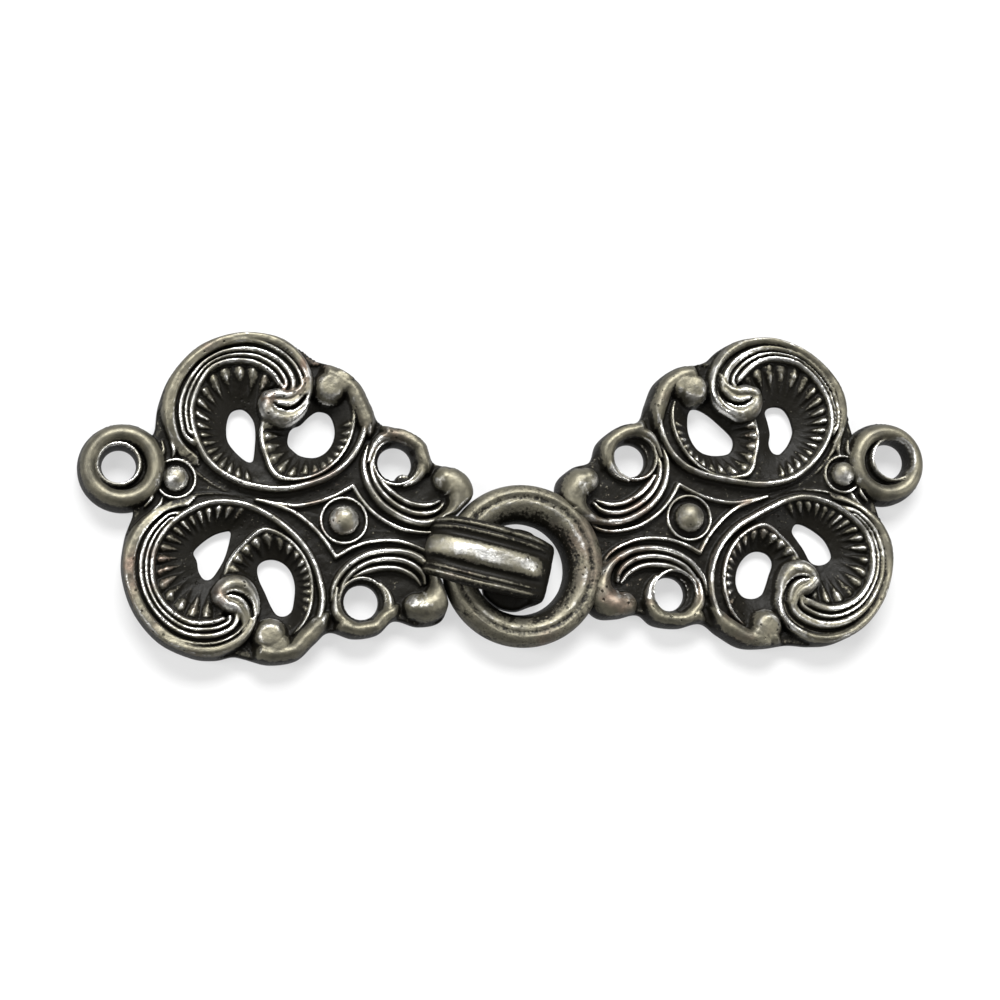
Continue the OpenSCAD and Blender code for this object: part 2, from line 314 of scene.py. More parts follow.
@dataclass(frozen=True)
class Ridge:
    """A raised or sunk line: rows of u, v, half its width and its middle's height."""

    rows: Rows
    profile: Profile = Profile.FINE

    def nearby(self, points: Array) -> tuple[Array, Array, Array]:
        """Find the nodes that the line can reach.

        Args:
            points: places of the height's nodes.

        Returns:
            The nodes' numbers, the distance of each to the line over half the line's
            width, and the line's height there.
        """
        line = smooth_curve(self.rows)
        reach = line[:, 2].max()
        low, high = line[:, :2].min(0) - reach, line[:, :2].max(0) + reach
        near = np.flatnonzero(((points >= low) & (points <= high)).all(1))
        gap, _, at = nearest_on(line, points[near])
        return near, gap / at[:, 2], at[:, 3]

    def raise_on(self, points: Array, height: Array, foot: float) -> None:
        """Raise the height where the ridge stands above it.

        Args:
            points: places of the height's nodes.
            height: height of each node, changed in place.
            foot: height of the ridge's feet.
        """
        near, x, top = self.nearby(points)
        height[near] = with_ridge(height[near], x, top, foot, self.profile)

    def carve(self, points: Array, height: Array, brim: float) -> None:
        """Lower the height to a groove along the line.

        Across the groove the height is bottom + (brim - bottom) x^2, with x from 0
        in its middle to 1 at its edges.

        Args:
            points: places of the height's nodes.
            height: height of each node, changed in place.
            brim: height of the groove's edges.
        """
        near, x, bottom = self.nearby(points)
        bound = np.where(x < 1, bottom + (brim - bottom) * x * x, brim)
        height[near] = np.minimum(height[near], bound)


@dataclass(frozen=True)
class Groove:
    """A groove of the fan: its share of the way in, half its width, and its depth.

    A late groove starts further along the fan.
    """

    share: float
    half_share: float
    depth: float
    late: bool = False


@dataclass(frozen=True)
class Fan:
    """The band between a scroll's outer rim and its inner ridge, grooved along."""

    outer: Rows
    inner: Rows
    grooves: tuple[Groove, ...]
    reach: float = 2.7
    end_u: float = 12.7

    def raise_on(self, points: Array, height: Array) -> None:
        """Raise the height to the band between the two lines.

        A point's share s is its distance to the outer line over the sum of its
        distances to both. The height goes evenly from the outer top to the inner one
        and drops by depth (1 + cos(pi x)) / 2 at each groove, where x runs from 0 in
        the groove to 1 at its edge. The outer line's last two columns fade the
        grooves at their start.

        Args:
            points: places of the height's nodes.
            height: height of each node, changed in place.
        """
        outer, inner = smooth_curve(self.outer), smooth_curve(self.inner)
        low, high = outer[:, :2].min(0), outer[:, :2].max(0)
        near = np.flatnonzero(((points >= low) & (points <= high)).all(1))
        out_gap, out_sign, out_at = nearest_on(outer, points[near])
        in_gap, in_sign, in_at = nearest_on(inner, points[near])
        band = (out_sign < 0) & (in_sign < 0) & (in_gap < self.reach) & (out_gap < self.reach)
        band &= points[near, 0] < self.end_u
        near, out_at, in_at = near[band], out_at[band], in_at[band]
        share = out_gap[band] / (out_gap[band] + in_gap[band] + TINY)
        top = out_at[:, 3] * (1 - share) + in_at[:, 3] * share
        for groove in self.grooves:
            x = np.minimum(np.abs(share - groove.share) / groove.half_share, 1)
            fade = out_at[:, 5] if groove.late else out_at[:, 4]
            top -= groove.depth * fade * (0.5 + 0.5 * np.cos(np.pi * x))
        height[near] = np.maximum(height[near], top)


@dataclass(frozen=True)
class Flutes:
    """Flutes that run down from a ridge to an opening's edge, all round it.

    span_deg holds the directions of the first and the last flute, seen from the
    opening's middle. flank is the share of the ridge's half width that the flutes
    run up to, and evenness the mean and the spread of their random height.
    """

    line: Rows
    span_deg: Pair
    count: int
    rise: float = 0.5
    onset: float = 0.2
    lip: float = 0.6
    foot: float = 1.6
    reach: float = 3.4
    flank: float = 0.6
    climb: float = 1.2
    dip: float = 0.12
    sharpness: float = 1.4
    narrowest: float = 0.15
    wide_from: float = 0.9
    full_from: float = 0.85
    tip_from: float = 0.9
    tip_drop: float = 0.6
    end_share: float = 0.04
    evenness: Pair = (0.8, 0.4)
    pattern: float = 0.7

    def shape(self, loop: Array, points: Array, height: Array) -> None:
        """Sink the height to a funnel round the opening and raise its flutes.

        With t the point's distance to the opening over the sum of its distances to
        the opening and to the ridge's flank, the funnel climbs from lip to foot as
        t^climb and dips a little by the ridge. Across a flute, with x from -1 to 1,
        it gains rise (1 - (|x| / w)^sharpness) times a share that grows outwards
        along the flute, drops at its tip and wanders at random. w is the flute's
        width, which grows outwards too.

        Args:
            loop: the opening's corners.
            points: places of the height's nodes.
            height: height of each node, changed in place.
        """
        middle = loop.mean(0)
        near = np.flatnonzero(np.hypot(*(points - middle).T) < 2 * self.reach)
        gap = np.maximum(-signed_distance(loop, points[near]), 0)
        out_gap, sign, at = nearest_on(smooth_curve(self.line), points[near])
        within = (sign > 0) & (gap < self.reach)
        near, gap, out_gap, at = near[within], gap[within], out_gap[within], at[within]
        t = gap / (gap + np.maximum(out_gap - self.flank * at[:, 2], 0) + TINY)
        u, v = (points[near] - middle).T
        first, last = (math.radians(a) for a in self.span_deg)
        turn = ((np.arctan2(v, u) - first) % (2 * math.pi)) / (last - first)
        ends = smooth_step(0, self.end_share, turn) * (1 - smooth_step(1 - self.end_share, 1, turn))
        x = 2 * ((turn * self.count) % 1) - 1
        along = smooth_step(self.onset, self.full_from, t)
        along *= 1 - self.tip_drop * smooth_step(self.tip_from, 1, t)
        mean, spread = self.evenness
        along *= mean + spread * mottle(*points[near].T, self.pattern, self.count)
        funnel = self.lip + (self.foot - self.lip) * t**self.climb
        funnel -= self.dip * smooth_step(0.8, 1, t)
        width = self.narrowest + (1 - self.narrowest) * smooth_step(self.onset, self.wide_from, t)
        crown = np.clip(1 - (np.abs(x) / width) ** self.sharpness, 0, 1)
        height[near] = funnel + self.rise * ends * along * crown


EDGE_START: Rows = (
    (1.75, 2.5), (1.95, 3.3), (1.8, 5.2), (2.2, 7.6), (3.7, 10.1), (6.0, 11.85), (8.6, 12.42),
)
EDGE_HOOK_UPPER: Rows = (
    (1.75, 2.5), (1.95, 3.3), (1.75, 5.2), (2.1, 7.6), (3.55, 10.2), (6.0, 11.9), (8.6, 12.42),
    (10.6, 12.1), (12.2, 11.5), (14.1, 11.25), (15.9, 10.5), (17.1, 9.1), (18.1, 8.0),
    (20.1, 7.9), (21.7, 7.35), (22.6, 6.15), (24.2, 6.05), (25.5, 5.5), (26.15, 4.3),
    (25.65, 3.2), (25.2, 2.5), (24.7, 2.05),
)
EDGE_HOOK_LOWER: Rows = EDGE_START + (
    (10.3, 12.2), (11.5, 11.65), (12.4, 11.6), (14.2, 11.62), (16.1, 10.85), (17.1, 9.4),
    (18.0, 8.25), (19.8, 8.3), (21.5, 7.6), (22.5, 6.3), (24.3, 6.3), (25.85, 5.6),
    (26.15, 4.3), (25.65, 3.2), (25.2, 2.5), (24.7, 2.05),
)
EDGE_EYE_UPPER: Rows = EDGE_START + (
    (10.4, 12.15), (11.7, 11.55), (12.9, 11.5), (14.5, 11.6), (16.3, 10.9), (17.5, 9.5),
    (18.4, 8.4), (20.3, 8.35), (22.1, 7.6), (23.1, 6.35), (24.6, 6.25), (26.0, 5.6),
    (26.5, 4.5), (26.2, 3.4), (25.5, 2.6), (24.8, 2.05),
)
EDGE_EYE_LOWER: Rows = EDGE_START + (
    (10.5, 12.1), (12.2, 11.5), (14.2, 11.2), (16.0, 10.6), (17.4, 9.2), (18.4, 8.0),
    (20.3, 7.85), (22.1, 7.1), (23.0, 6.0), (24.6, 5.85), (26.0, 5.45), (26.65, 4.5),
    (26.3, 3.4), (25.5, 2.6), (24.8, 2.05),
)


@dataclass(frozen=True)
class Quarter:
    """One side of a half, as this casting has it.

    inner is the crest of the inner ridge, from the leaf round the round opening and
    the long one to the ball. shares are the fan grooves' places between the outer
    rim and that ridge, and seed is the draw of the texture. burr is metal left in
    the sewing hole: u, v and radius.
    """

    edge: Rows
    inner: Rows
    round_opening: Rows
    long_opening: Rows
    sew_hole: Pair
    leaf_shift: Pair
    shares: Span
    seed: int
    opening_shift: Pair
    burr: Span | None = None

    def loops(self) -> tuple[Array, Array]:
        """Draw both openings as smooth closed loops, moved by opening_shift.

        Returns:
            The round opening's corners and the long one's.
        """
        return tuple(
            smooth_curve(rows, 8, closed=True) + self.opening_shift
            for rows in (self.round_opening, self.long_opening)
        )

    def ridge(self) -> Rows:
        """Give the inner ridge its width, with thin ends, and its height.

        Returns:
            Rows of u, v, half the width and the crest's height.
        """
        half, top, thin = 0.33, 2.25, 0.6
        ends = (0, len(self.inner) - 1)
        return tuple(
            (u, v, half * (thin if k in ends else 1), top) for k, (u, v) in enumerate(self.inner)
        )


HOOK_UPPER = Quarter(
    EDGE_HOOK_UPPER,
    ((9.95, 8.85), (9.3, 9.45), (8.0, 9.9), (6.8, 9.8), (5.7, 9.4), (4.8, 8.6), (4.35, 7.5),
     (4.15, 6.0), (4.3, 5.0), (4.7, 4.0), (5.4, 2.9), (6.3, 1.95), (7.5, 1.3), (9.0, 0.95),
     (10.5, 0.95), (12.0, 1.2), (13.6, 1.9), (15.2, 3.0), (16.3, 4.4), (16.85, 6.0),
     (16.9, 7.5), (16.3, 8.9), (15.3, 9.5)),
    ((6.85, 5.3), (7.0, 5.95), (7.5, 6.3), (7.95, 6.3), (8.45, 6.0), (8.85, 5.5), (9.15, 4.6),
     (9.35, 3.4), (9.4, 2.75), (9.2, 2.55), (8.8, 2.6), (8.1, 2.95), (7.3, 3.6), (6.95, 4.4)),
    ((11.5, 5.4), (11.6, 4.6), (12.1, 4.2), (12.8, 3.95), (13.8, 4.1), (14.5, 4.7),
     (14.85, 5.6), (14.8, 6.5), (14.4, 7.3), (13.9, 7.65), (13.2, 7.6), (12.7, 7.1),
     (12.2, 6.3), (11.7, 5.9)),
    (19.85, 5.3), (0.1, 0.0), (0.38, 0.66, 0.87), seed=11,
    opening_shift=(0.12, 0.2), burr=(20.75, 4.05, 0.62),
)
HOOK_LOWER = Quarter(
    EDGE_HOOK_LOWER,
    ((10.1, 9.15), (9.4, 9.6), (8.0, 9.95), (6.8, 9.7), (5.6, 9.0), (4.7, 7.9), (4.25, 6.6),
     (4.15, 5.4), (4.4, 4.2), (4.9, 3.2), (5.7, 2.2), (6.8, 1.3), (8.0, 0.8), (9.5, 0.6),
     (11.0, 0.8), (12.5, 1.3), (14.0, 2.1), (15.3, 3.2), (16.3, 4.7), (16.9, 6.3),
     (16.8, 8.0), (16.1, 9.5), (15.2, 10.0)),
    ((6.8, 5.0), (7.2, 5.6), (7.5, 6.3), (8.0, 6.75), (8.5, 6.6), (8.85, 5.8), (9.1, 4.8),
     (9.15, 3.6), (9.05, 2.85), (8.6, 2.95), (7.9, 3.4), (7.2, 4.2)),
    ((11.6, 5.0), (11.9, 4.4), (12.6, 4.1), (13.4, 4.2), (14.1, 4.7), (14.6, 5.6),
     (14.8, 6.7), (14.8, 7.5), (14.4, 8.0), (13.8, 8.05), (13.2, 7.5), (12.6, 6.7),
     (11.9, 5.8)),
    (19.75, 5.5), (0.15, 0.1), (0.38, 0.66, 0.87), seed=23,
    opening_shift=(0.12, -0.2),
)
EYE_UPPER = Quarter(
    EDGE_EYE_UPPER,
    ((9.85, 9.3), (9.3, 9.7), (8.5, 10.1), (7.5, 10.3), (6.3, 10.1), (5.0, 9.4), (4.1, 8.2),
     (3.55, 6.8), (3.4, 5.5), (3.65, 4.2), (4.3, 3.1), (5.3, 2.15), (6.5, 1.4), (7.8, 0.9),
     (9.0, 0.8), (10.5, 1.0), (12.0, 1.5), (13.5, 2.2), (15.0, 3.0), (16.2, 4.0),
     (16.9, 5.2), (17.15, 6.5), (17.1, 7.8), (16.7, 9.0), (15.9, 9.8), (15.2, 10.1)),
    ((6.95, 4.5), (6.95, 5.5), (7.3, 6.3), (8.1, 6.6), (8.8, 6.35), (8.85, 5.5), (8.95, 4.6),
     (9.3, 3.8), (9.2, 3.1), (8.65, 2.85), (7.8, 3.3), (7.15, 4.0)),
    ((12.0, 5.1), (12.2, 4.3), (12.8, 3.95), (13.9, 4.1), (14.8, 4.6), (15.25, 5.4),
     (15.35, 6.4), (15.1, 7.4), (14.7, 8.0), (14.1, 8.0), (13.4, 7.4), (12.7, 6.4)),
    (20.1, 5.6), (-0.3, 0.35), (0.24, 0.6, 0.82), seed=37,
    opening_shift=(-0.6, 0.12),
)
EYE_LOWER = Quarter(
    EDGE_EYE_LOWER,
    ((9.85, 8.6), (9.2, 9.2), (8.2, 9.7), (7.0, 9.75), (5.8, 9.4), (4.6, 8.4), (3.9, 7.2),
     (3.65, 6.0), (3.75, 4.8), (4.3, 3.6), (5.2, 2.4), (6.3, 1.5), (7.6, 0.85), (9.0, 0.7),
     (10.5, 0.9), (12.0, 1.2), (13.5, 1.6), (15.0, 2.4), (16.2, 3.6), (16.9, 5.0),
     (17.2, 6.5), (17.1, 7.6), (16.6, 8.6), (15.6, 9.2)),
    ((7.0, 5.6), (7.15, 6.15), (7.8, 6.4), (8.5, 6.3), (8.95, 5.9), (9.15, 5.0), (9.4, 4.2),
     (9.65, 3.3), (9.2, 2.8), (8.6, 2.95), (7.8, 3.7), (7.2, 4.6)),
    ((11.9, 5.2), (12.1, 4.4), (12.9, 3.95), (13.9, 4.1), (14.8, 4.8), (15.25, 5.7),
     (15.3, 6.5), (15.0, 7.1), (14.3, 7.4), (13.5, 7.3), (13.0, 6.8), (12.5, 6.1)),
    (20.2, 5.1), (-0.35, -0.35), (0.24, 0.6, 0.82), seed=41,
    opening_shift=(-0.6, -0.12),
)

OUTER_RIM: Rows = (
    (12.4, 0.5, 0.1, 1.35, 1.0, 0.0), (10.2, 0.15, 0.1, 1.35, 1.0, 0.0),
    (8.0, 0.15, 0.12, 1.4, 1.0, 0.0), (6.0, 0.75, 0.15, 1.5, 1.0, 0.0),
    (4.6, 1.65, 0.2, 1.65, 1.0, 0.0), (3.5, 2.75, 0.3, 1.95, 1.0, 0.0),
    (2.75, 4.1, 0.48, 2.35, 1.0, 0.0),
    (2.45, 5.4, 0.6, 2.5, 1.0, 0.0), (2.5, 6.8, 0.62, 2.55, 1.0, 0.0),
    (3.05, 8.4, 0.62, 2.55, 1.0, 0.0), (4.0, 9.8, 0.62, 2.55, 1.0, 0.0),
    (5.25, 10.95, 0.62, 2.55, 1.0, 0.0), (6.85, 11.75, 0.6, 2.55, 1.0, 0.0),
    (8.5, 11.95, 0.55, 2.55, 1.0, 0.5), (10.0, 11.65, 0.5, 2.5, 1.0, 1.0),
    (11.1, 11.0, 0.42, 2.45, 1.0, 1.0), (11.85, 10.2, 0.36, 2.4, 1.0, 1.0),
    (12.25, 9.3, 0.3, 2.3, 1.0, 1.0), (12.3, 8.5, 0.25, 2.25, 1.0, 1.0),
    (12.1, 7.7, 0.24, 2.2, 0.9, 0.8), (11.5, 7.0, 0.24, 2.2, 0.6, 0.4),
    (10.8, 6.7, 0.24, 2.2, 0.3, 0.2), (10.1, 6.8, 0.24, 2.2, 0.2, 0.1),
)
LOBE_LINE: Rows = (
    (9.5, 6.1, 0.18, 1.5), (9.6, 5.1, 0.2, 1.65), (9.95, 4.1, 0.22, 1.75),
    (10.45, 3.25, 0.25, 1.85), (10.95, 2.5, 0.3, 2.0), (11.6, 2.05, 0.3, 2.1),
    (12.6, 2.1, 0.22, 2.0), (13.7, 2.5, 0.21, 1.95), (14.7, 3.25, 0.21, 1.95),
    (15.5, 4.35, 0.21, 1.95), (15.95, 5.6, 0.21, 1.95), (16.1, 6.9, 0.21, 1.95),
    (15.9, 8.1, 0.2, 1.9), (15.4, 9.0, 0.15, 1.7),
)
LEAF_CORE: Rows = (
    (9.6, 7.3, 0.95, 2.45), (10.4, 7.25, 1.0, 2.45), (11.1, 7.6, 0.85, 2.4),
    (11.6, 8.4, 0.5, 2.3), (11.7, 9.2, 0.3, 2.2),
)
LEAF_BODY: Rows = (
    (9.35, 7.45, 0.55, 2.5), (9.5, 6.95, 0.72, 2.55), (9.95, 6.5, 0.78, 2.5),
    (10.7, 6.35, 0.74, 2.4), (11.4, 6.65, 0.56, 2.3), (12.0, 7.3, 0.36, 2.2),
    (12.3, 8.1, 0.2, 2.1),
)
LEAF_TOP: Rows = (
    (9.4, 7.6, 0.66, 2.6), (10.0, 7.95, 0.62, 2.6), (10.65, 8.05, 0.6, 2.55),
    (11.2, 8.4, 0.5, 2.45), (11.55, 9.0, 0.34, 2.35), (11.6, 9.7, 0.2, 2.2),
)
LEAF_SLIT: Rows = (
    (9.8, 7.3, 0.1, 2.0), (10.3, 7.1, 0.18, 1.7), (11.0, 7.15, 0.22, 1.5),
    (11.6, 7.6, 0.22, 1.5), (12.0, 8.4, 0.18, 1.6),
)
HOLE_RIM: Rows = (
    (-2.05, -0.5, 0.15, 2.0), (-1.95, 0.5, 0.3, 2.15), (-1.5, 1.45, 0.48, 2.3),
    (-0.2, 2.1, 0.62, 2.35), (1.05, 1.85, 0.62, 2.35), (1.9, 0.95, 0.56, 2.3),
    (2.05, -0.1, 0.46, 2.2), (1.7, -1.0, 0.3, 2.05), (1.0, -1.6, 0.14, 1.9),
)
SMALL_RIDGES: tuple[Rows, ...] = (
    (
        (17.5, 6.0, 0.16, 1.7), (17.45, 4.9, 0.29, 2.05), (17.75, 3.85, 0.34, 2.2),
        (18.4, 2.85, 0.36, 2.25), (19.45, 1.95, 0.36, 2.25), (20.8, 1.4, 0.36, 2.25),
        (22.2, 1.2, 0.36, 2.25), (23.3, 1.4, 0.44, 2.25),
    ),
    (
        (18.05, 5.4, 0.16, 1.8), (18.1, 4.5, 0.26, 2.05), (18.55, 3.55, 0.31, 2.15),
        (19.4, 2.7, 0.31, 2.2), (20.6, 2.08, 0.31, 2.2), (21.9, 1.85, 0.31, 2.2),
        (23.0, 2.05, 0.31, 2.2), (23.7, 2.5, 0.26, 2.1), (24.0, 3.1, 0.18, 1.9),
    ),
    (
        (18.7, 3.9, 0.18, 1.9), (19.6, 3.2, 0.34, 2.05), (20.7, 2.7, 0.31, 2.05),
        (21.9, 2.5, 0.29, 2.0), (23.0, 2.75, 0.26, 1.95), (23.7, 3.25, 0.16, 1.7),
    ),
)
COMMA: Rows = (
    (23.0, 1.35, 0.3, 2.2), (23.9, 1.75, 0.42, 2.35), (24.65, 2.45, 0.62, 2.55),
    (25.1, 3.3, 1.0, 2.75), (25.05, 4.2, 1.22, 2.85), (24.45, 4.8, 1.28, 2.9),
    (23.75, 4.95, 1.05, 2.75),
)
STAR_LINES: tuple[Rows, ...] = (
    (
        (10.4, 0.0, 0.17, 1.7), (12.0, 0.08, 0.22, 1.85), (13.3, 0.25, 0.22, 1.9),
        (14.6, 0.8, 0.22, 1.9), (15.9, 1.65, 0.22, 1.9), (17.1, 2.75, 0.24, 1.95),
    ),
    (
        (17.1, 2.75, 0.24, 1.95), (18.1, 1.8, 0.22, 1.9), (19.4, 1.0, 0.22, 1.9),
        (21.2, 0.5, 0.22, 1.9), (23.0, 0.6, 0.2, 1.9), (24.1, 1.0, 0.2, 1.9),
        (24.8, 1.7, 0.17, 1.7),
    ),
)
NECK_LINES: tuple[Rows, ...] = (
    ((2.7, 2.5, 0.14, 1.8), (3.0, 1.8, 0.2, 2.0), (2.95, 1.1, 0.14, 1.8)),
    ((3.3, 2.7, 0.14, 1.8), (3.7, 2.1, 0.2, 2.0), (3.75, 1.6, 0.12, 1.8)),
)


@dataclass(frozen=True)
class Ball:
    """A raised ball: its place, radius, middle's height, flatness and drop at the side."""

    at: Pair
    radius: float
    middle: float
    flat: float = 1.0
    drop: float = 0.0

    def raise_on(self, points: Array, height: Array) -> None:
        """Raise the height to middle + flat sqrt(r^2 - d^2), less the drop at the side.

        d is the distance from the ball's place, and the drop comes in along an
        S-shaped ramp.

        Args:
            points: places of the height's nodes.
            height: height of each node, changed in place.
        """
        gap = np.hypot(*(points - self.at).T)
        on = gap < self.radius
        top = self.middle + self.flat * np.sqrt(self.radius**2 - gap[on] ** 2)
        top -= self.drop * smooth_step(0.45, 1, gap[on] / self.radius) ** 1.5
        height[on] = np.maximum(height[on], top)


@dataclass(frozen=True)
class Collar:
    """A raised ring: its place, the radius of its crest, half its width, its top."""

    at: Pair
    radius: float
    half_width: float
    top: float
    profile: Profile = Profile.FINE

    def raise_on(self, points: Array, height: Array, foot: float) -> None:
        """Raise the height as a ridge does, across the distance from the crest.

        Args:
            points: places of the height's nodes.
            height: height of each node, changed in place.
            foot: height of the ring's feet.
        """
        x = np.abs(np.hypot(*(points - self.at).T) - self.radius) / self.half_width
        height[:] = with_ridge(height, x, self.top, foot, self.profile)


@dataclass(frozen=True)
class EdgeRim:
    """A rounded rim along a stretch of the outer edge, from one u to another."""

    span: Pair
    half_width: float
    top: float
    from_v: float = 3.0
    fade: float = 0.8

    def raise_on(self, points: Array, skin: Array, height: Array, foot: float) -> None:
        """Raise the height along the edge, as a ridge that lies half its width inside.

        The rim fades at both ends and below from_v.

        Args:
            points: places of the height's nodes.
            skin: distance of each from the outer edge.
            height: height of each node, changed in place.
            foot: height of the rim's feet.
        """
        u, v = points.T
        first, last = self.span
        share = smooth_step(first, first + self.fade, u) * (1 - smooth_step(last - self.fade, last, u))
        share *= smooth_step(self.from_v, self.from_v + self.fade, v)
        x = skin / self.half_width - 1
        height[:] = with_ridge(height, x, self.top, foot, Profile.ROUND, share)


@dataclass(frozen=True)
class EndLoop:
    """A half's end loop, its hole and the bead beside it, as this casting has them."""

    at: Pair
    radius: float
    hole: Pair
    hole_r: float
    bead_u: float


@dataclass
class Plate:
    """A half's pierced scroll plate, as a height over a grid cut at its edges.

    The grid has a node every cell, and nodes within snap cells of an edge move onto
    it. ease is how far the plate stays inside its solid. deck is the height of the
    open ground and foot that of the ridges' feet. edge_lip, edge_rise and edge_round
    round off the edge, and back_round and wall_foot draw in the back. hidden is
    relief and crest of the wall and the back, and high the height of middling relief.
    """

    side: Side
    upper: Quarter
    lower: Quarter
    loop: EndLoop
    rim_shift: Pair = (0.0, 0.0)
    comma_shift: float = 0.0
    cell: float = 0.098
    ease: float = 0.03
    margin: float = 0.4
    v_span: Pair = (-12.9, 12.95)
    snap: float = 0.55
    least_metal: float = 0.04
    deck: float = 1.3
    foot: float = 1.1
    edge_lip: float = 0.75
    edge_rise: float = 2.2
    edge_round: float = 0.6
    end_u: float = 24.4
    end_half: float = 1.9
    root_u: float = 26.5
    root_half: float = 3.4
    hole_r: float = 1.3
    hole_collar: Span = (1.72, 0.17, 2.0)
    slit_brim: float = 2.6
    back_round: float = 0.14
    wall_foot: float = 0.22
    hidden: float = 0.38
    pattern: float = 0.7
    roughness: float = 0.045
    high: float = 1.85
    high_span: float = 1.4
    # Half of each groove's width as a share of the band, and its depth, going inwards.
    fan_grooves: tuple[Pair, ...] = ((0.13, 0.65), (0.09, 0.6), (0.09, 0.6))
    late_groove: Pair = (0.07, 0.5)
    # How many of the inner ridge's rows run along the fan, and round the opening.
    fan_rows: int = 10
    round_rows: int = 17
    # Radius beyond the hole, half the width and the top of the end loop's inner rim.
    loop_rim: Span = (0.28, 0.22, 2.15)
    loop_crest: Span = (2.42, 0.76, 2.5)
    # Place, radius and collar of the star's bead; radius and collar of the neck's.
    star_bead: tuple[Pair, float, float] = ((17.05, 0.05), 1.12, 1.7)
    neck_bead: Pair = (0.95, 1.42)
    bead_middle: float = 1.6
    bead_collar: Pair = (0.16, 1.8)
    # How far the burr spreads past its disc, and its middle, flatness and drop.
    burr_foot: float = 0.2
    burr_ball: Span = (1.1, 0.6, 0.6)
    balls: tuple[Ball, ...] = (
        Ball((13.75, 9.6), 1.38, 2.15, 0.28, drop=0.8),
        Ball((14.4, 10.2), 1.2, 2.2, 0.24, drop=0.6),
    )
    edge_rims: tuple[EdgeRim, ...] = (
        EdgeRim((12.6, 18.0), 0.78, 2.5), EdgeRim((17.9, 22.9), 0.62, 2.4),
    )
    # Directions of the first and last flute in degrees, number, rise and onset.
    round_flutes: tuple[Pair, int, float, float] = ((62, 296), 18, 0.5, 0.2)
    long_flutes: tuple[Pair, int, float, float] = ((150, 395), 17, 0.55, 0.0)
    # Least relief at the outer edge, and the distances between which that fades out.
    worn_rim: Span = (0.56, 0.4, 0.8)
    # Relief and crest lost at the outer edge, and where each loss starts and ends to fade.
    # The relief loss and the second crest loss are painted shade along the brink; the first
    # crest loss dulls the rim.
    painted_brink_shade: Span = (0.18, 0.05, 0.28)
    rim_dulling_and_brink_shade: tuple[Span, ...] = ((0.3, 0.7, 1.5), (0.25, 0.05, 0.35))

    def quarter(self, sign: int) -> Quarter:
        """The upper quarter for sign 1, and the lower one for sign -1."""
        return self.upper if sign > 0 else self.lower

    def outline(self) -> Array:
        """Draw the plate's outline without its loop: one side, its end, and the other.

        Returns:
            The outline's corners.
        """
        upper, lower = smooth_curve(self.upper.edge, 12), smooth_curve(self.lower.edge, 12)
        end = np.array([(self.end_u, self.end_half), (self.end_u, -self.end_half)])
        return np.vstack([upper, end, lower[::-1] * (1, -1)])

    def outer_distance(self, points: Array) -> Array:
        """Signed distance to the plate's outer edge, more than 0 inside it.

        It is the greatest of the distances to the outline, the loop and, on the eye
        half, the ring's root, less a small ease that keeps the plate in its solid.

        Args:
            points: places, one row each.

        Returns:
            One distance for each point.
        """
        solid = np.maximum(
            signed_distance(self.outline(), points),
            self.loop.radius - np.hypot(*(points - self.loop.at).T),
        )
        if self.side is Side.EYE:
            start = self.end_u - 1
            root = np.minimum.reduce([
                points[:, 0] - start, self.root_u - points[:, 0],
                self.root_half - np.abs(points[:, 1]),
            ])
            solid = np.maximum(solid, root)
        return solid - self.ease

    def distance(self, points: Array) -> Array:
        """Signed distance to the plate's edges, more than 0 in its metal.

        It is the least of the distances to the outer edge, to each hole and to each
        opening. A burr is a disc of metal that narrows a sewing hole.

        Args:
            points: places, one row each.

        Returns:
            One distance for each point.
        """
        hole = np.hypot(*(points - self.loop.hole).T) - self.loop.hole_r
        solid = np.minimum(self.outer_distance(points), hole)
        for sign in (1, -1):
            quarter = self.quarter(sign)
            flipped = points * (1, sign)
            away = np.hypot(*(flipped - quarter.sew_hole).T) - self.hole_r
            if quarter.burr:
                u, v, r = quarter.burr
                away = np.maximum(away, r - np.hypot(*(flipped - (u, v)).T))
            solid = np.minimum(solid, away)
            for loop in quarter.loops():
                solid = np.minimum(solid, -signed_distance(loop, flipped))
        return solid

    def quarter_height(self, quarter: Quarter, points: Array, skin: Array) -> Array:
        """Height of one side's casting at points with v of 0 or more.

        Args:
            quarter: the side's own shapes.
            points: places, one row each.
            skin: distance of each from the outer edge.

        Returns:
            The height of each.
        """
        height, foot = np.full(len(points), self.deck), self.foot
        ridge = quarter.ridge()
        first, second = quarter.loops()
        Flutes(ridge[:self.round_rows], *self.round_flutes).shape(first, points, height)
        Flutes(LOBE_LINE, *self.long_flutes).shape(second, points, height)
        for rows in (*STAR_LINES, *NECK_LINES, *SMALL_RIDGES):
            Ridge(rows).raise_on(points, height, foot)
        grooves = [Groove(share, *size) for share, size in zip(quarter.shares, self.fan_grooves)]
        grooves.append(Groove(0.5 * quarter.shares[0], *self.late_groove, late=True))
        Fan(OUTER_RIM, ridge[:self.fan_rows], tuple(grooves)).raise_on(points, height)
        Ridge(OUTER_RIM, Profile.ROUND).raise_on(points, height, foot)
        Ridge(ridge).raise_on(points, height, foot)
        Ridge(LOBE_LINE).raise_on(points, height, foot)
        for rim in self.edge_rims:
            rim.raise_on(points, skin, height, foot)
        about_hole = points - quarter.sew_hole - self.rim_shift
        Ridge(HOLE_RIM, Profile.ROUND).raise_on(about_hole, height, foot)
        Collar((0, 0), *self.hole_collar).raise_on(about_hole, height, foot)
        Ridge(COMMA, Profile.ROUND).raise_on(points - (self.comma_shift, 0), height, foot)
        about_leaf = points - quarter.leaf_shift
        for rows in (LEAF_CORE, LEAF_BODY, LEAF_TOP):
            Ridge(rows, Profile.ROUND).raise_on(about_leaf, height, foot)
        Ridge(LEAF_SLIT).carve(about_leaf, height, self.slit_brim)
        for ball in self.balls:
            ball.raise_on(points, height)
        if quarter.burr:
            u, v, radius = quarter.burr
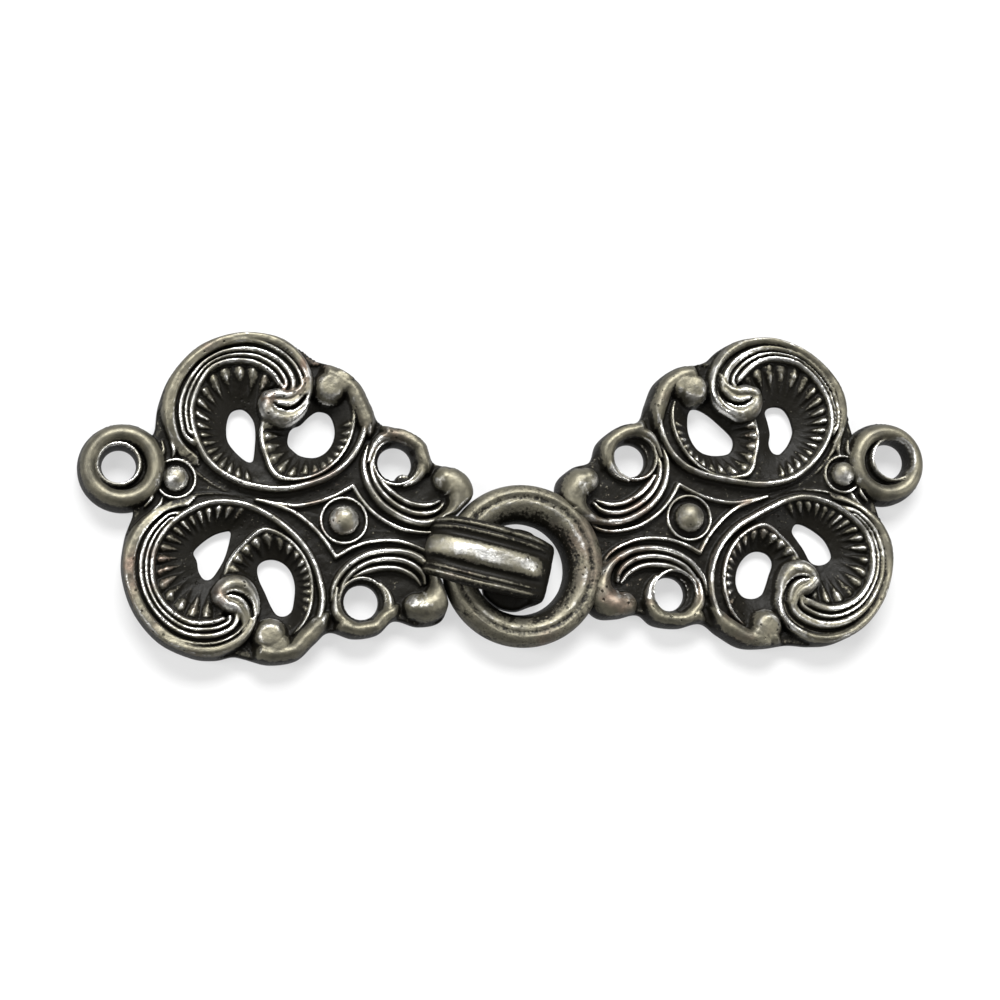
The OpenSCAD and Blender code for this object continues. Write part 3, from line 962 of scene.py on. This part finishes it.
            Ball((u, v), radius + self.burr_foot, *self.burr_ball).raise_on(points, height)
        return height + self.roughness * mottle(*points.T, self.pattern, quarter.seed)

    def height(self, points: Array, edge: Array, skin: Array) -> Array:
        """Height of the plate's face.

        Each side's height joins at v = 0, the beads and collars of the middle stand
        on it, and near the edge it stays under edge_lip + edge_rise
        sqrt(1 - (1 - distance / edge_round)^2).

        Args:
            points: places, one row each.
            edge: distance of each from the plate's edges.
            skin: distance of each from the outer edge.

        Returns:
            The height of each.
        """
        height = np.empty(len(points))
        for sign in (1, -1):
            part = points[:, 1] >= 0 if sign > 0 else points[:, 1] < 0
            height[part] = self.quarter_height(
                self.quarter(sign), points[part] * (1, sign), skin[part]
            )
        Collar(self.loop.at, *self.loop_crest, Profile.ROUND).raise_on(points, height, self.foot)
        beyond, half, top = self.loop_rim
        inner_rim = Collar(self.loop.hole, self.loop.hole_r + beyond, half, top)
        inner_rim.raise_on(points, height, self.foot)
        neck = (self.loop.bead_u, self.star_bead[0][1])
        for at, radius, collar_r in (self.star_bead, (neck, *self.neck_bead)):
            Collar(at, collar_r, *self.bead_collar).raise_on(points, height, self.foot)
            Ball(at, radius, self.bead_middle).raise_on(points, height)
        t = np.clip(edge / self.edge_round, 0, 1)
        bound = self.edge_lip + self.edge_rise * np.sqrt(1 - (1 - t) ** 2)
        return np.minimum(height, bound)

    def shell(self) -> Shell:
        """Work out the plate's closed surface.

        A square grid's nodes within about half a cell of an edge move onto it. Cells
        whose four nodes lie in the metal give two triangles and those with three
        give one. The face is that sheet at its height, the back is the same sheet
        at 0 with its edge drawn in, and a wall joins the two. Relief and crest are
        changed by the outer edge, which is worn on top, and painted shade darkens
        its brink.

        Returns:
            The surface in the half's frame.
        """
        u = np.arange(-self.loop.radius - self.margin, self.root_u + self.margin, self.cell)
        v = np.arange(*self.v_span, self.cell)
        grid_u, grid_v = np.meshgrid(u, v, indexing="ij")
        points = np.stack([grid_u.ravel(), grid_v.ravel()], 1)
        edge = self.distance(points).reshape(grid_u.shape)
        slope = np.stack(np.gradient(edge, self.cell), -1).reshape(-1, 2)
        slope /= np.maximum(np.linalg.norm(slope, axis=1, keepdims=True), TINY)
        edge = edge.ravel()
        near = np.flatnonzero(np.abs(edge) < self.snap * self.cell)
        points[near] -= slope[near] * edge[near, None]
        points[near] -= slope[near] * self.distance(points[near])[:, None]
        snapped = edge.copy()
        snapped[near] = 0
        faces = self.cut_cells(points, snapped, grid_u.shape)
        used, faces = np.unique(faces, return_inverse=True)
        faces = faces.reshape(-1, 3)
        points, slope = points[used], slope[used]
        edge = np.maximum(snapped[used], 0)
        skin = np.clip(self.outer_distance(points), 0, None)
        top = self.height(points, edge, skin)
        relief, crest = self.measures(grid_u.shape, used, top)
        relief = np.maximum(relief, self.by_edge(self.worn_rim, skin))
        # Painted shade along the brink: relief drops there, and so does the crest, whose first drop
        # also dulls the rim further in.
        relief -= self.by_edge(self.painted_brink_shade, skin)
        for loss in self.rim_dulling_and_brink_shade:
            crest -= self.by_edge(loss, skin)
        return self.close(Shell(np.column_stack([points, top]), faces, relief, crest), slope, edge)

    def by_edge(self, amount: Span, skin: Array) -> Array:
        """An amount at the outer edge that fades out between two distances from it."""
        return amount[0] * (1 - smooth_step(*amount[1:], skin))

    def cut_cells(self, points: Array, edge: Array, shape: tuple[int, int]) -> Array:
        """Triangles of the grid's cells that lie in the metal.

        Args:
            points: the grid's nodes, after those near an edge moved onto it.
            edge: distance of each from the edge, 0 for those on it.
            shape: the grid's number of nodes each way.

        Returns:
            Three node numbers for each triangle, counter-clockwise from above.
        """
        node = np.arange(shape[0] * shape[1]).reshape(shape)
        corner = np.stack([node[:-1, :-1], node[1:, :-1], node[1:, 1:], node[:-1, 1:]], -1)
        corner = corner.reshape(-1, 4)
        kept = edge[corner] >= 0
        full = corner[kept.all(1)]
        diagonal = [np.linalg.norm(points[full[:, a]] - points[full[:, b]], axis=1)
                    for a, b in ((0, 2), (1, 3))]
        first = diagonal[0] <= diagonal[1]
        halves = [full[first][:, [0, 1, 2]], full[first][:, [0, 2, 3]],
                  full[~first][:, [0, 1, 3]], full[~first][:, [1, 2, 3]]]
        for missing in range(4):
            lone = (kept.sum(1) == 3) & ~kept[:, missing]
            rest = [k for k in range(4) if k != missing]
            halves.append(corner[lone][:, rest])
        faces = np.vstack(halves)
        on_edge = (edge[faces] == 0).all(1)
        middles = points[faces[on_edge]].mean(1)
        keep = np.ones(len(faces), bool)
        keep[on_edge] = self.distance(middles) > self.least_metal * self.cell
        return faces[keep]

    def measures(self, shape: tuple[int, int], used: Array, top: Array) -> tuple[Array, Array]:
        """How much each node stands out from what lies round it.

        The height is averaged with Gaussian weights over the metal round the node,
        widely for relief and narrowly for crest, and taken from the height itself.
        Relief is three fifths of that and two fifths of how high the node lies.

        Args:
            shape: the grid's number of nodes each way.
            used: the numbers of the nodes that the plate keeps.
            top: the height of each of those.

        Returns:
            Relief and crest, each 0.5 where the face is level.
        """
        sheet, metal = np.zeros(shape), np.zeros(shape)
        sheet.ravel()[used], metal.ravel()[used] = top, 1
        found = []
        wide, narrow = (0.5, 1.1), (0.15, 0.3)
        for spread, span in (wide, narrow):
            n = int(3 * spread / self.cell) + 1
            weight = np.exp(-0.5 * (np.arange(-n, n + 1) * self.cell / spread) ** 2)
            weight /= weight.sum()
            mean, cover = sheet, metal
            for axis in (0, 1):
                mean, cover = (
                    np.apply_along_axis(np.convolve, axis, values, weight, mode="same")
                    for values in (mean, cover)
                )
            about = (mean / np.maximum(cover, TINY)).ravel()[used]
            found.append(0.5 + (top - about) / span)
        relief = 0.6 * found[0] + 0.4 * (0.5 + (top - self.high) / self.high_span)
        return np.clip(relief, 0, 1), np.clip(found[1], 0, 1)

    def close(self, sheet: Shell, slope: Array, edge: Array) -> Shell:
        """Join the face to the back with a wall.

        The back's nodes are drawn into the metal by back_round (1 - d / (3
        back_round)), with d their distance from the edge. The wall goes straight
        down from the face to wall_foot, and from there to the back's edge.

        Args:
            sheet: the face, not closed.
            slope: direction into the metal at each of its nodes.
            edge: distance of each from the edge.

        Returns:
            The closed surface.
        """
        faces, points, n = sheet.faces, sheet.points[:, :2], len(sheet.points)
        drawn = 3 * self.back_round
        inset = np.where(edge < drawn, self.back_round * (1 - edge / drawn), 0)
        back = points + slope * inset[:, None]
        pairs = np.vstack([faces[:, [0, 1]], faces[:, [1, 2]], faces[:, [2, 0]]])
        key = pairs.min(1) * n + pairs.max(1)
        _, first, count = np.unique(key, return_index=True, return_counts=True)
        rim = pairs[first[count == 1]]
        ring = np.unique(rim)
        middle = np.full(n, -1)
        middle[ring] = 2 * n + np.arange(len(ring))
        p, q = rim.T
        wall = np.vstack([
            np.stack([p, middle[p], middle[q]], 1), np.stack([p, middle[q], q], 1),
            np.stack([middle[p], p + n, q + n], 1), np.stack([middle[p], q + n, middle[q]], 1),
        ])
        places = np.vstack([
            sheet.points, np.column_stack([back, np.zeros(n)]),
            np.column_stack([points[ring], np.full(len(ring), self.wall_foot)]),
        ])
        hidden = np.full(n + len(ring), self.hidden)
        return Shell(
            places, np.vstack([faces, faces[:, ::-1] + n, wall]),
            np.concatenate([sheet.relief, hidden]), np.concatenate([sheet.crest, hidden]),
        )


def tube(rings: Array, closed: bool) -> Array:
    """Triangles that skin a grid of closed rings.

    Args:
        rings: node numbers, a row for each ring.
        closed: whether the last ring joins the first; else each end is filled with a fan.

    Returns:
        Three node numbers for each triangle.
    """
    a, b = (rings, np.roll(rings, -1, axis=0)) if closed else (rings[:-1], rings[1:])
    a2, b2 = np.roll(a, -1, axis=1), np.roll(b, -1, axis=1)
    faces = np.vstack([
        np.stack([a, b, b2], -1).reshape(-1, 3), np.stack([a, b2, a2], -1).reshape(-1, 3)
    ])
    if closed:
        return faces
    caps = []
    for ring in (rings[0], rings[-1][::-1]):
        caps.append(np.stack([np.full(len(ring) - 2, ring[0]), ring[1:-1], ring[2:]], 1))
    return np.vstack([faces, *caps])


@dataclass(frozen=True)
class EyeRing:
    """The cast ring: a section with two beads and a groove, carried round a circle."""

    middle_u: float = 30.7
    turns: int = 420
    section: Rows = (
        (3.74, 0.22), (3.66, 0.5), (3.74, 1.1), (3.88, 1.6), (4.08, 1.95), (4.34, 2.22),
        (4.58, 2.42), (4.8, 2.5), (4.98, 2.48), (5.1, 2.45), (5.25, 2.5), (5.45, 2.57),
        (5.7, 2.47), (5.95, 2.22), (6.1, 1.85), (6.17, 1.4), (6.12, 0.9), (5.95, 0.5),
        (5.5, 0.23), (4.6, 0.21),
    )
    marks: Rows = (
        (0.4, 0.4), (0.3, 0.4), (0.2, 0.4), (0.32, 0.4), (0.44, 0.4), (0.52, 0.46),
        (0.58, 0.6), (0.6, 0.74), (0.54, 0.48), (0.5, 0.4), (0.54, 0.46), (0.6, 0.56),
        (0.6, 0.48), (0.6, 0.44), (0.58, 0.42), (0.54, 0.42), (0.46, 0.4), (0.42, 0.4),
        (0.42, 0.4), (0.42, 0.4),
    )
    thicker: float = 0.42
    thick_at_deg: float = 150.0
    thick_span: Pair = (3.7, 5.3)
    swell_r: float = 0.012
    swell_z: float = 0.02
    swell_top: float = 0.6
    swell_cell: float = 0.8
    swell_from_z: Pair = (1.0, 2.2)
    rim_r: Pair = (5.9, 6.2)
    seed: int = 5

    def shell(self) -> Shell:
        """Carry the section round the ring's middle.

        A point of the section at radius r and height z lies at u = middle + r cos a
        and v = r sin a, with a small random swell in r and z. The hole's side moves in
        by thicker times ((1 + cos(a - thick_at)) / 2)^1.5, where the plate joins.

        Returns:
            The closed surface in the half's frame.
        """
        profile = smooth_curve(np.hstack([self.section, self.marks]), 5, closed=True)
        shape = (self.turns, len(profile))
        angle = np.linspace(0, 2 * np.pi, self.turns, endpoint=False)[:, None]
        r, z, relief, crest = (np.broadcast_to(column, shape) for column in profile.T)
        round_r, step = 5, 0.14
        along = step * np.arange(len(profile))
        swell = mottle(round_r * np.cos(angle) + along, round_r * np.sin(angle) - along,
                       self.swell_cell, self.seed)
        near_plate = (0.5 + 0.5 * np.cos(angle - math.radians(self.thick_at_deg))) ** 1.5
        r = r - self.thicker * near_plate * (1 - smooth_step(*self.thick_span, r))
        r = r + self.swell_r * swell * (1 - smooth_step(*self.rim_r, r))
        rising = smooth_step(*self.swell_from_z, z)
        z = z + self.swell_z * np.minimum(swell, self.swell_top) * rising
        places = np.stack([self.middle_u + r * np.cos(angle), r * np.sin(angle), z], -1)
        node = np.arange(r.size).reshape(shape)
        return Shell(places.reshape(-1, 3), tube(node, True), relief.ravel(), crest.ravel())


@dataclass(frozen=True)
class HookTongue:
    """The ribbed tongue: a section with ribs carried along the hook's line."""

    width: float = 4.8
    middle_v: float = -0.3
    over_z: float = 3.45
    thick: float = 1.1
    lip: float = 0.9
    lip_z: float = 0.5
    bend_u: float = 33.05
    per_span: int = 14
    lowest_z: float = 0.02
    crown_z: float = 4.33
    # Where the ribs come in: along u at the root, along z below the bend. Then how
    # much of them the bend takes off, and from where to where before it.
    ribs_from_u: Pair = (23.75, 24.25)
    ribs_from_z: Pair = (0.9, 2.4)
    bend_loss: Span = (0.92, 2.1, 0.6)
    # How far the flanks of the plain stretches lie under their middle.
    plain_drop: float = 0.12
    tip_length: float = 0.5
    swell: float = 0.015
    swell_cell: float = 0.8
    seed: int = 9
    dark: float = 0.3
    under: Rows = (
        (-0.97, -0.75), (-0.88, -1.0), (-0.5, -1.0), (0.0, -1.0), (0.5, -1.0), (0.88, -1.0),
        (0.97, -0.75),
    )
    top: Rows = (
        (0.0, 0.345), (0.1, 0.34), (0.2, 0.29), (0.29, 0.19), (0.35, 0.05), (0.4, -0.08),
        (0.47, -0.13), (0.54, -0.08), (0.6, 0.03), (0.645, 0.08), (0.69, 0.03), (0.735, -0.02),
        (0.785, 0.07), (0.83, 0.15), (0.875, 0.12), (0.92, 0.0), (0.97, -0.16), (1.0, -0.38),
    )
    rib_marks: Rows = (
        (0.74, 0.85), (0.74, 0.8), (0.7, 0.62), (0.58, 0.42), (0.42, 0.3), (0.22, 0.2),
        (0.12, 0.15), (0.28, 0.25), (0.44, 0.45), (0.5, 0.6), (0.4, 0.4), (0.3, 0.25),
        (0.44, 0.45), (0.56, 0.65), (0.52, 0.5), (0.44, 0.4), (0.38, 0.4), (0.36, 0.4),
    )

    def line(self) -> Array:
        """Draw the hook's side view: over the ring, down through it and back as the lip.

        Returns:
            Rows of u, z, thickness and share of the width.
        """
        over, thick, lip, lip_z = self.over_z, self.thick, self.lip, self.lip_z
        return smooth_curve((
            (23.9, 0.3, 0.9, 0.9), (23.92, 1.6, 0.9, 0.9), (24.25, over - 0.8, 1.0, 0.94),
            (25.3, over - 0.15, thick, 1.02), (27.2, over, thick, 1.05), (29.4, over, thick, 1.03),
            (31.0, over - 0.25, thick, 1.0), (32.15, over - 0.9, thick, 0.9),
            (self.bend_u - thick / 2, 1.7, thick, 0.86), (32.2, 0.85, 1.0, 1.0),
            (31.3, lip_z, lip, 1.28), (30.2, lip_z, lip, 1.32), (29.3, lip_z, lip, 1.2),
            (28.3, lip_z, 0.8 * lip, 0.92),
        ), self.per_span)

    def rib_share(self, line: Array) -> Array:
        """Work out how far the ribs stand out along the hook.

        They come in at the root and above the lip, and go down before the bend.

        Args:
            line: the side view.

        Returns:
            A share from 0 to 1 for each of its rows.
        """
        u, z = line[:, 0], line[:, 1]
        late = np.arange(len(line)) > len(line) / 2
        share = np.where(late, smooth_step(*self.ribs_from_z, z), smooth_step(*self.ribs_from_u, u))
        loss, start, end = self.bend_loss
        return share * (1 - loss * smooth_step(self.bend_u - start, self.bend_u - end, u))

    def shell(self) -> Shell:
        """Carry the section along the hook's line.

        At each station the section's share of half the width gives v, and its rise
        is added along the line's outward normal, so the ribs turn down with the bend.
        A plain stretch is a little crowned, by the sixth power of the share, and the
        lip's end is rounded by sqrt(1 - x^2), with x from 0 to 1 along tip_length.

        Returns:
            The closed surface in the half's frame.
        """
        line = self.line()
        step = np.gradient(line[:, :2], axis=0)
        step /= np.linalg.norm(step, axis=1, keepdims=True)
        half = smooth_curve(np.hstack([self.top, self.rib_marks]), 3)
        crown = np.vstack([half[::-1], half[1:] * (-1, 1, 1, 1)])
        lengths = np.linalg.norm(np.diff(line[:, :2], axis=0), axis=1)
        left = np.append(np.cumsum(lengths[::-1])[::-1], 0)
        tip = 1 - np.clip(1 - left / self.tip_length, 0, 1) ** 2
        tip = np.sqrt(np.clip(tip, 0.02, 1))[:, None]
        ribbed = self.rib_share(line)[:, None]
        half_t = line[:, 2, None] / 2 * tip
        half_w = self.width / 2 * line[:, 3, None] * (0.5 + 0.5 * tip)
        across, rib, relief, crest = crown.T
        rise = ribbed * rib - (1 - ribbed) * self.plain_drop * across**6
        under = np.array(self.under)
        lift = np.hstack([half_t + rise * tip, half_t * under[:, 1]])
        v = half_w * np.concatenate([across, under[:, 0]])
        u = np.broadcast_to(line[:, :1], v.shape)
        away = 40
        lift += self.swell * mottle(u, v + away, self.swell_cell, self.seed)
        z = np.clip(line[:, 1, None] + step[:, 0, None] * lift, self.lowest_z, self.crown_z)
        places = np.stack([u - step[:, 1, None] * lift, v + self.middle_v, z], -1)
        node = np.arange(v.size).reshape(v.shape)
        dark = np.full(len(under), self.dark)
        relief = np.concatenate([relief, dark]) * (0.35 + 0.65 * ribbed)
        crest = np.concatenate([crest, dark]) * (0.5 + 0.5 * ribbed)
        return Shell(places.reshape(-1, 3), tube(node, False), relief.ravel(), crest.ravel())


@dataclass(frozen=True)
class Noise:
    """A noise pattern: its scale for each metre, its detail and its roughness."""

    scale: float
    detail: float
    roughness: float


class Nodes:
    """Short way to add and join shader nodes of one material."""

    def __init__(self, material: bpy.types.Material) -> None:
        """Start with an empty tree.

        Args:
            material: the material whose nodes are made.
        """
        material.use_nodes = True
        self.tree = material.node_tree
        self.tree.nodes.clear()

    def add(self, kind: str, inputs: dict | None = None, **settings) -> bpy.types.Node:
        """Add a node, set it up and fill or join its inputs.

        Args:
            kind: Blender's name of the node.
            inputs: a value or an output socket for each input, by name or number.
            settings: the node's own properties.

        Returns:
            The node.
        """
        node = self.tree.nodes.new(kind)
        for key, value in settings.items():
            setattr(node, key, value)
        for key, value in (inputs or {}).items():
            if isinstance(value, bpy.types.NodeSocket):
                self.tree.links.new(value, node.inputs[key])
            else:
                node.inputs[key].default_value = value
        return node

    def math(self, operation: str, a: object, b: object) -> bpy.types.NodeSocket:
        """Result of a sum on two values or sockets."""
        return self.add("ShaderNodeMath", {0: a, 1: b}, operation=operation).outputs[0]

    def total(self, start: object, *terms: tuple[object, float]) -> bpy.types.NodeSocket:
        """Add up a start and each term's socket times its weight.

        Args:
            start: a value or a socket.
            terms: a socket and its weight each.

        Returns:
            The sum.
        """
        for socket, weight in terms:
            node = self.add("ShaderNodeMath", {0: socket, 1: weight, 2: start},
                            operation="MULTIPLY_ADD")
            start = node.outputs[0]
        return start

    def noise(self, place: bpy.types.NodeSocket, kind: Noise) -> bpy.types.NodeSocket:
        """Noise pattern at a place, about 0.5."""
        return self.add("ShaderNodeTexNoise", {
            "Vector": place, "Scale": kind.scale, "Detail": kind.detail, "Roughness": kind.roughness,
        }).outputs["Fac"]

    def ramp(self, value: object, span: Pair, to: Pair = (0.0, 1.0)) -> bpy.types.NodeSocket:
        """S-shaped ramp of a value over a span.

        Args:
            value: the socket that is read.
            span: its values at the ramp's start and end.
            to: the result at the ramp's start and end.

        Returns:
            The result.
        """
        limits = {"From Min": span[0], "From Max": span[1], "To Min": to[0], "To Max": to[1]}
        node = self.add("ShaderNodeMapRange", {"Value": value, **limits},
                        interpolation_type="SMOOTHSTEP")
        return node.outputs["Result"]

    def mix(self, factor: object, a: object, b: object) -> bpy.types.NodeSocket:
        """Blend two colours.

        Args:
            factor: share of b.
            a: a colour or a socket.
            b: a colour or a socket.

        Returns:
            The blended colour.
        """
        node = self.add("ShaderNodeMix", {0: factor, 6: a, 7: b}, data_type="RGBA")
        return node.outputs[2]


@dataclass(frozen=True)
class AntiquedPewter:
    """Finish of the castings: worn bright crests, olive-grey metal, black recesses."""

    black: Colour = (0.0030, 0.0026, 0.0017, 1)
    olive: Colour = (0.115, 0.107, 0.08, 1)
    bright: Colour = (0.56, 0.555, 0.535, 1)
    brown: Colour = (0.13, 0.08, 0.065, 1)
    grey: Colour = (0.055, 0.052, 0.042, 1)
    cloud: Noise = Noise(700.0, 5.0, 0.6)
    speck: Noise = Noise(4200.0, 4.0, 0.65)
    patch: Noise = Noise(170.0, 3.0, 0.5)
    wear: Noise = Noise(420.0, 3.0, 0.5)
    pit_scale: float = 1500.0
    pit_size: Pair = (0.2, 0.1)
    pit_patch: Pair = (0.47, 0.58)
    pit_depth: float = 1.2
    pit_dark: float = 0.85
    cloud_share: float = 0.5
    speck_share: float = 0.4
    glint_from: Pair = (0.6, 0.74)
    glint: float = 0.22
    relief_share: float = 0.72
    metal_from: Pair = (0.42, 0.61)
    crest_share: float = 0.7
    shine_from: Pair = (0.62, 0.94)
    wear_from: Pair = (0.4, 0.6)
    wear_shine: Pair = (0.15, 1.3)
    brown_from: Pair = (0.56, 0.68)
    brown_share: float = 0.55
    grey_from: Pair = (0.38, 0.64)
    grey_share: float = 0.8
    dull: Pair = (0.48, 0.53)
    polish: float = 0.24
    speck_rough: float = 0.25
    grain_speck: float = 0.6
    grain_cloud: float = 0.8
    bump: float = 0.6
    bump_height: float = 0.00008
    specular: float = 0.07

    def build(self) -> bpy.types.Material:
        """Make the material from the piece's own relief and crest, and from noise.

        Metal shows where relief, crest and noise add up to more than metal_from, and
        it shines where they do so with more weight on the crest. Elsewhere the black
        of the recesses stays. Brown and grey patches, pits and grain lie over both.

        Returns:
            The material.
        """
        material = bpy.data.materials.new(SLOT)
        n = Nodes(material)
        place = n.add("ShaderNodeTexCoord").outputs["Object"]
        relief = n.add("ShaderNodeAttribute", attribute_name="relief").outputs["Fac"]
        crest = n.add("ShaderNodeAttribute", attribute_name="crest").outputs["Fac"]
        cloud, speck, patch, wear = (
            n.noise(place, kind) for kind in (self.cloud, self.speck, self.patch, self.wear)
        )
        cells = n.add("ShaderNodeTexVoronoi", {"Vector": place, "Scale": self.pit_scale})
        level = -0.5 * (self.cloud_share + self.speck_share)
        drift = n.total(level, (cloud, self.cloud_share), (speck, self.speck_share))
        glint = n.ramp(speck, self.glint_from, (0.0, self.glint))
        body = n.total(drift, (relief, self.relief_share), (crest, 1 - self.relief_share),
                       (glint, 1.0))
        metal = n.ramp(body, self.metal_from)
        edge = n.total(drift, (crest, self.crest_share), (relief, 1 - self.crest_share))
        shine = n.math("MULTIPLY", n.ramp(edge, self.shine_from),
                       n.ramp(wear, self.wear_from, self.wear_shine))
        pit = n.math("MULTIPLY", n.ramp(cells.outputs["Distance"], self.pit_size),
                     n.ramp(patch, self.pit_patch))
        tinted = n.mix(n.ramp(patch, self.brown_from, (0.0, self.brown_share)), self.olive, self.brown)
        shaded = n.mix(n.ramp(cloud, self.grey_from, (0.0, self.grey_share)), tinted, self.grey)
        aged = n.mix(metal, self.black, n.mix(shine, shaded, self.bright))
        colour = n.mix(n.math("MULTIPLY", pit, self.pit_dark), aged, self.black)
        rough = n.total(-0.5 * self.speck_rough, (n.ramp(metal, (0.0, 1.0), self.dull), 1.0),
                        (shine, -self.polish), (speck, self.speck_rough))
        grain = n.total(0.0, (speck, self.grain_speck), (cloud, self.grain_cloud),
                        (pit, -self.pit_depth))
        bump = n.add("ShaderNodeBump", {
            "Height": grain, "Strength": self.bump, "Distance": self.bump_height,
        })
        shader = n.add("ShaderNodeBsdfPrincipled", {
            "Base Color": colour, "Roughness": rough, "Specular IOR Level": self.specular,
            "Metallic": metal, "Normal": bump.outputs["Normal"],
        })
        n.add("ShaderNodeOutputMaterial", {"Surface": shader.outputs[0]})
        return material


@dataclass(frozen=True)
class PaleFloor:
    """The plain floor under the clasp: dark grey, made pale by a glow that is painted light and keeps
    its shade and the clasp's holes light.
    """

    half: float = 0.6
    colour: Colour = (0.14, 0.14, 0.14, 1)
    roughness: float = 0.9
    specular: float = 0.1
    # Painted light: emission that keeps the floor pale in its shade.
    painted_glow: float = 0.58

    def build(self) -> bpy.types.Object:
        """Make the floor at the height of the clasp's back.

        Returns:
            The floor.
        """
        mesh = bpy.data.meshes.new("floor")
        s = self.half
        mesh.from_pydata([(-s, -s, 0), (s, -s, 0), (s, s, 0), (-s, s, 0)], [], [(0, 1, 2, 3)])
        material = bpy.data.materials.new("pale_floor")
        n = Nodes(material)
        shader = n.add("ShaderNodeBsdfPrincipled", {
            "Base Color": self.colour, "Roughness": self.roughness,
            "Specular IOR Level": self.specular, "Emission Color": (1, 1, 1, 1),
            "Emission Strength": self.painted_glow,
        })
        n.add("ShaderNodeOutputMaterial", {"Surface": shader.outputs[0]})
        mesh.materials.append(material)
        floor = bpy.data.objects.new("floor", mesh)
        bpy.context.scene.collection.objects.link(floor)
        return floor


@dataclass(frozen=True)
class Softbox:
    """An area light that faces the clasp: its place and size in metres, its power."""

    name: str
    at: Span
    size: Pair
    watts: float

    def build(self) -> None:
        """Add the light to the scene."""
        data = bpy.data.lights.new(self.name, "AREA")
        data.shape = "RECTANGLE"
        data.size, data.size_y = self.size
        data.energy = self.watts
        light = bpy.data.objects.new(self.name, data)
        light.location = self.at
        light.rotation_euler = (-Vector(self.at)).to_track_quat("-Z", "Y").to_euler()
        bpy.context.scene.collection.objects.link(light)


@dataclass(frozen=True)
class Studio:
    """The camera at the photograph's angle, and soft light."""

    distance_mm: float = 150.0
    px_per_mm: float = 13.29
    frame_px: int = 1000
    look_at_mm: Span = (-1.55, -0.5, 2.0)
    tilt_right_deg: float = 11.22
    tilt_up_deg: float = 9.15
    roll_deg: float = 1.351
    sensor_mm: float = 36.0
    nearest: float = 0.01
    boxes: tuple[Softbox, ...] = (
        Softbox("key", (0.0, 0.27, 0.30), (0.26, 0.13), 6.0),
        Softbox("fill", (-0.30, 0.02, 0.22), (0.12, 0.30), 1.6),
        Softbox("rim", (0.30, -0.12, 0.20), (0.10, 0.24), 1.0),
    )
    room: Colour = (0.81, 0.81, 0.80, 1)
    room_strength: float = 0.44

    def camera(self) -> bpy.types.Object:
        """Place the camera so that the clasp's face leans right and up in its view.

        Returns:
            The scene's camera.
        """
        lean = Vector((math.tan(math.radians(self.tilt_right_deg)),
                       math.tan(math.radians(self.tilt_up_deg)), 1)).normalized()
        tilt = Vector((0, 0, 1)).rotation_difference(lean).to_matrix()
        view = tilt @ Matrix.Rotation(math.radians(self.roll_deg), 3, "Z")
        pose = view.transposed().to_4x4()
        look = Vector(self.look_at_mm) * MM
        pose.translation = look + view.transposed() @ Vector((0, 0, self.distance_mm * MM))
        data = bpy.data.cameras.new("camera")
        data.sensor_width = self.sensor_mm
        data.lens = self.sensor_mm * self.px_per_mm * self.distance_mm / self.frame_px
        data.clip_start = self.nearest
        camera = bpy.data.objects.new("camera", data)
        camera.matrix_world = pose
        bpy.context.scene.collection.objects.link(camera)
        bpy.context.scene.camera = camera
        return camera

    def light(self) -> None:
        """Light the clasp softly from behind, left and right, in a pale room."""
        for box in self.boxes:
            box.build()
        world = bpy.data.worlds.new("room")
        world.use_nodes = True
        ground = world.node_tree.nodes["Background"]
        ground.inputs["Color"].default_value = self.room
        ground.inputs["Strength"].default_value = self.room_strength
        bpy.context.scene.world = world
        bpy.context.scene.view_settings.view_transform = "Standard"


@dataclass
class Half:
    """One casting: its plate, and the ring or the tongue that is cast with it."""

    node: str
    side: Side
    reach: float
    upper: Quarter
    lower: Quarter
    loop: EndLoop
    rim_shift: Pair = (0.0, 0.0)
    comma_shift: float = 0.0

    def build(self, finish: bpy.types.Material) -> list[bpy.types.Object]:
        """Make the casting's pieces and dress them.

        Args:
            finish: the casting's material.

        Returns:
            The pieces.
        """
        plate = Plate(self.side, self.upper, self.lower, self.loop, self.rim_shift, self.comma_shift)
        hook = self.side is Side.HOOK
        joined, name = (HookTongue(), "hook_tongue") if hook else (EyeRing(), "eye_ring")
        seat = Seat(self.side, self.reach)
        pieces = [
            seat.piece(self.node.replace("half", "plate"), plate.shell()),
            seat.piece(name, joined.shell()),
        ]
        for piece in pieces:
            piece.data.materials.append(finish)
            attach(piece, BODY)
            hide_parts(self.node)
        return pieces


def main() -> None:
    """Build the clasp's two castings, the floor, the camera and the light."""
    logging.basicConfig(level=logging.INFO, format="%(name)s: %(message)s")
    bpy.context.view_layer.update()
    Studio().camera()
    finish = AntiquedPewter().build()
    halves = (
        Half(
            "hook_half", Side.HOOK, 30.95, HOOK_UPPER, HOOK_LOWER,
            EndLoop(at=(0.42, -0.02), radius=3.3, hole=(0.12, 0.05), hole_r=1.25, bead_u=4.35),
        ),
        Half(
            "eye_half", Side.EYE, 30.7, EYE_UPPER, EYE_LOWER,
            EndLoop(at=(0.27, -0.03), radius=3.32, hole=(-0.35, 0.1), hole_r=1.4, bead_u=3.95),
            rim_shift=(-0.25, 0.05), comma_shift=0.3,
        ),
    )
    for half in halves:
        for piece in half.build(finish):
            LOG.info("%s has %d faces", piece.name, len(piece.data.polygons))
    PaleFloor().build()
    Studio().light()


if __name__ == "__main__":
    main()
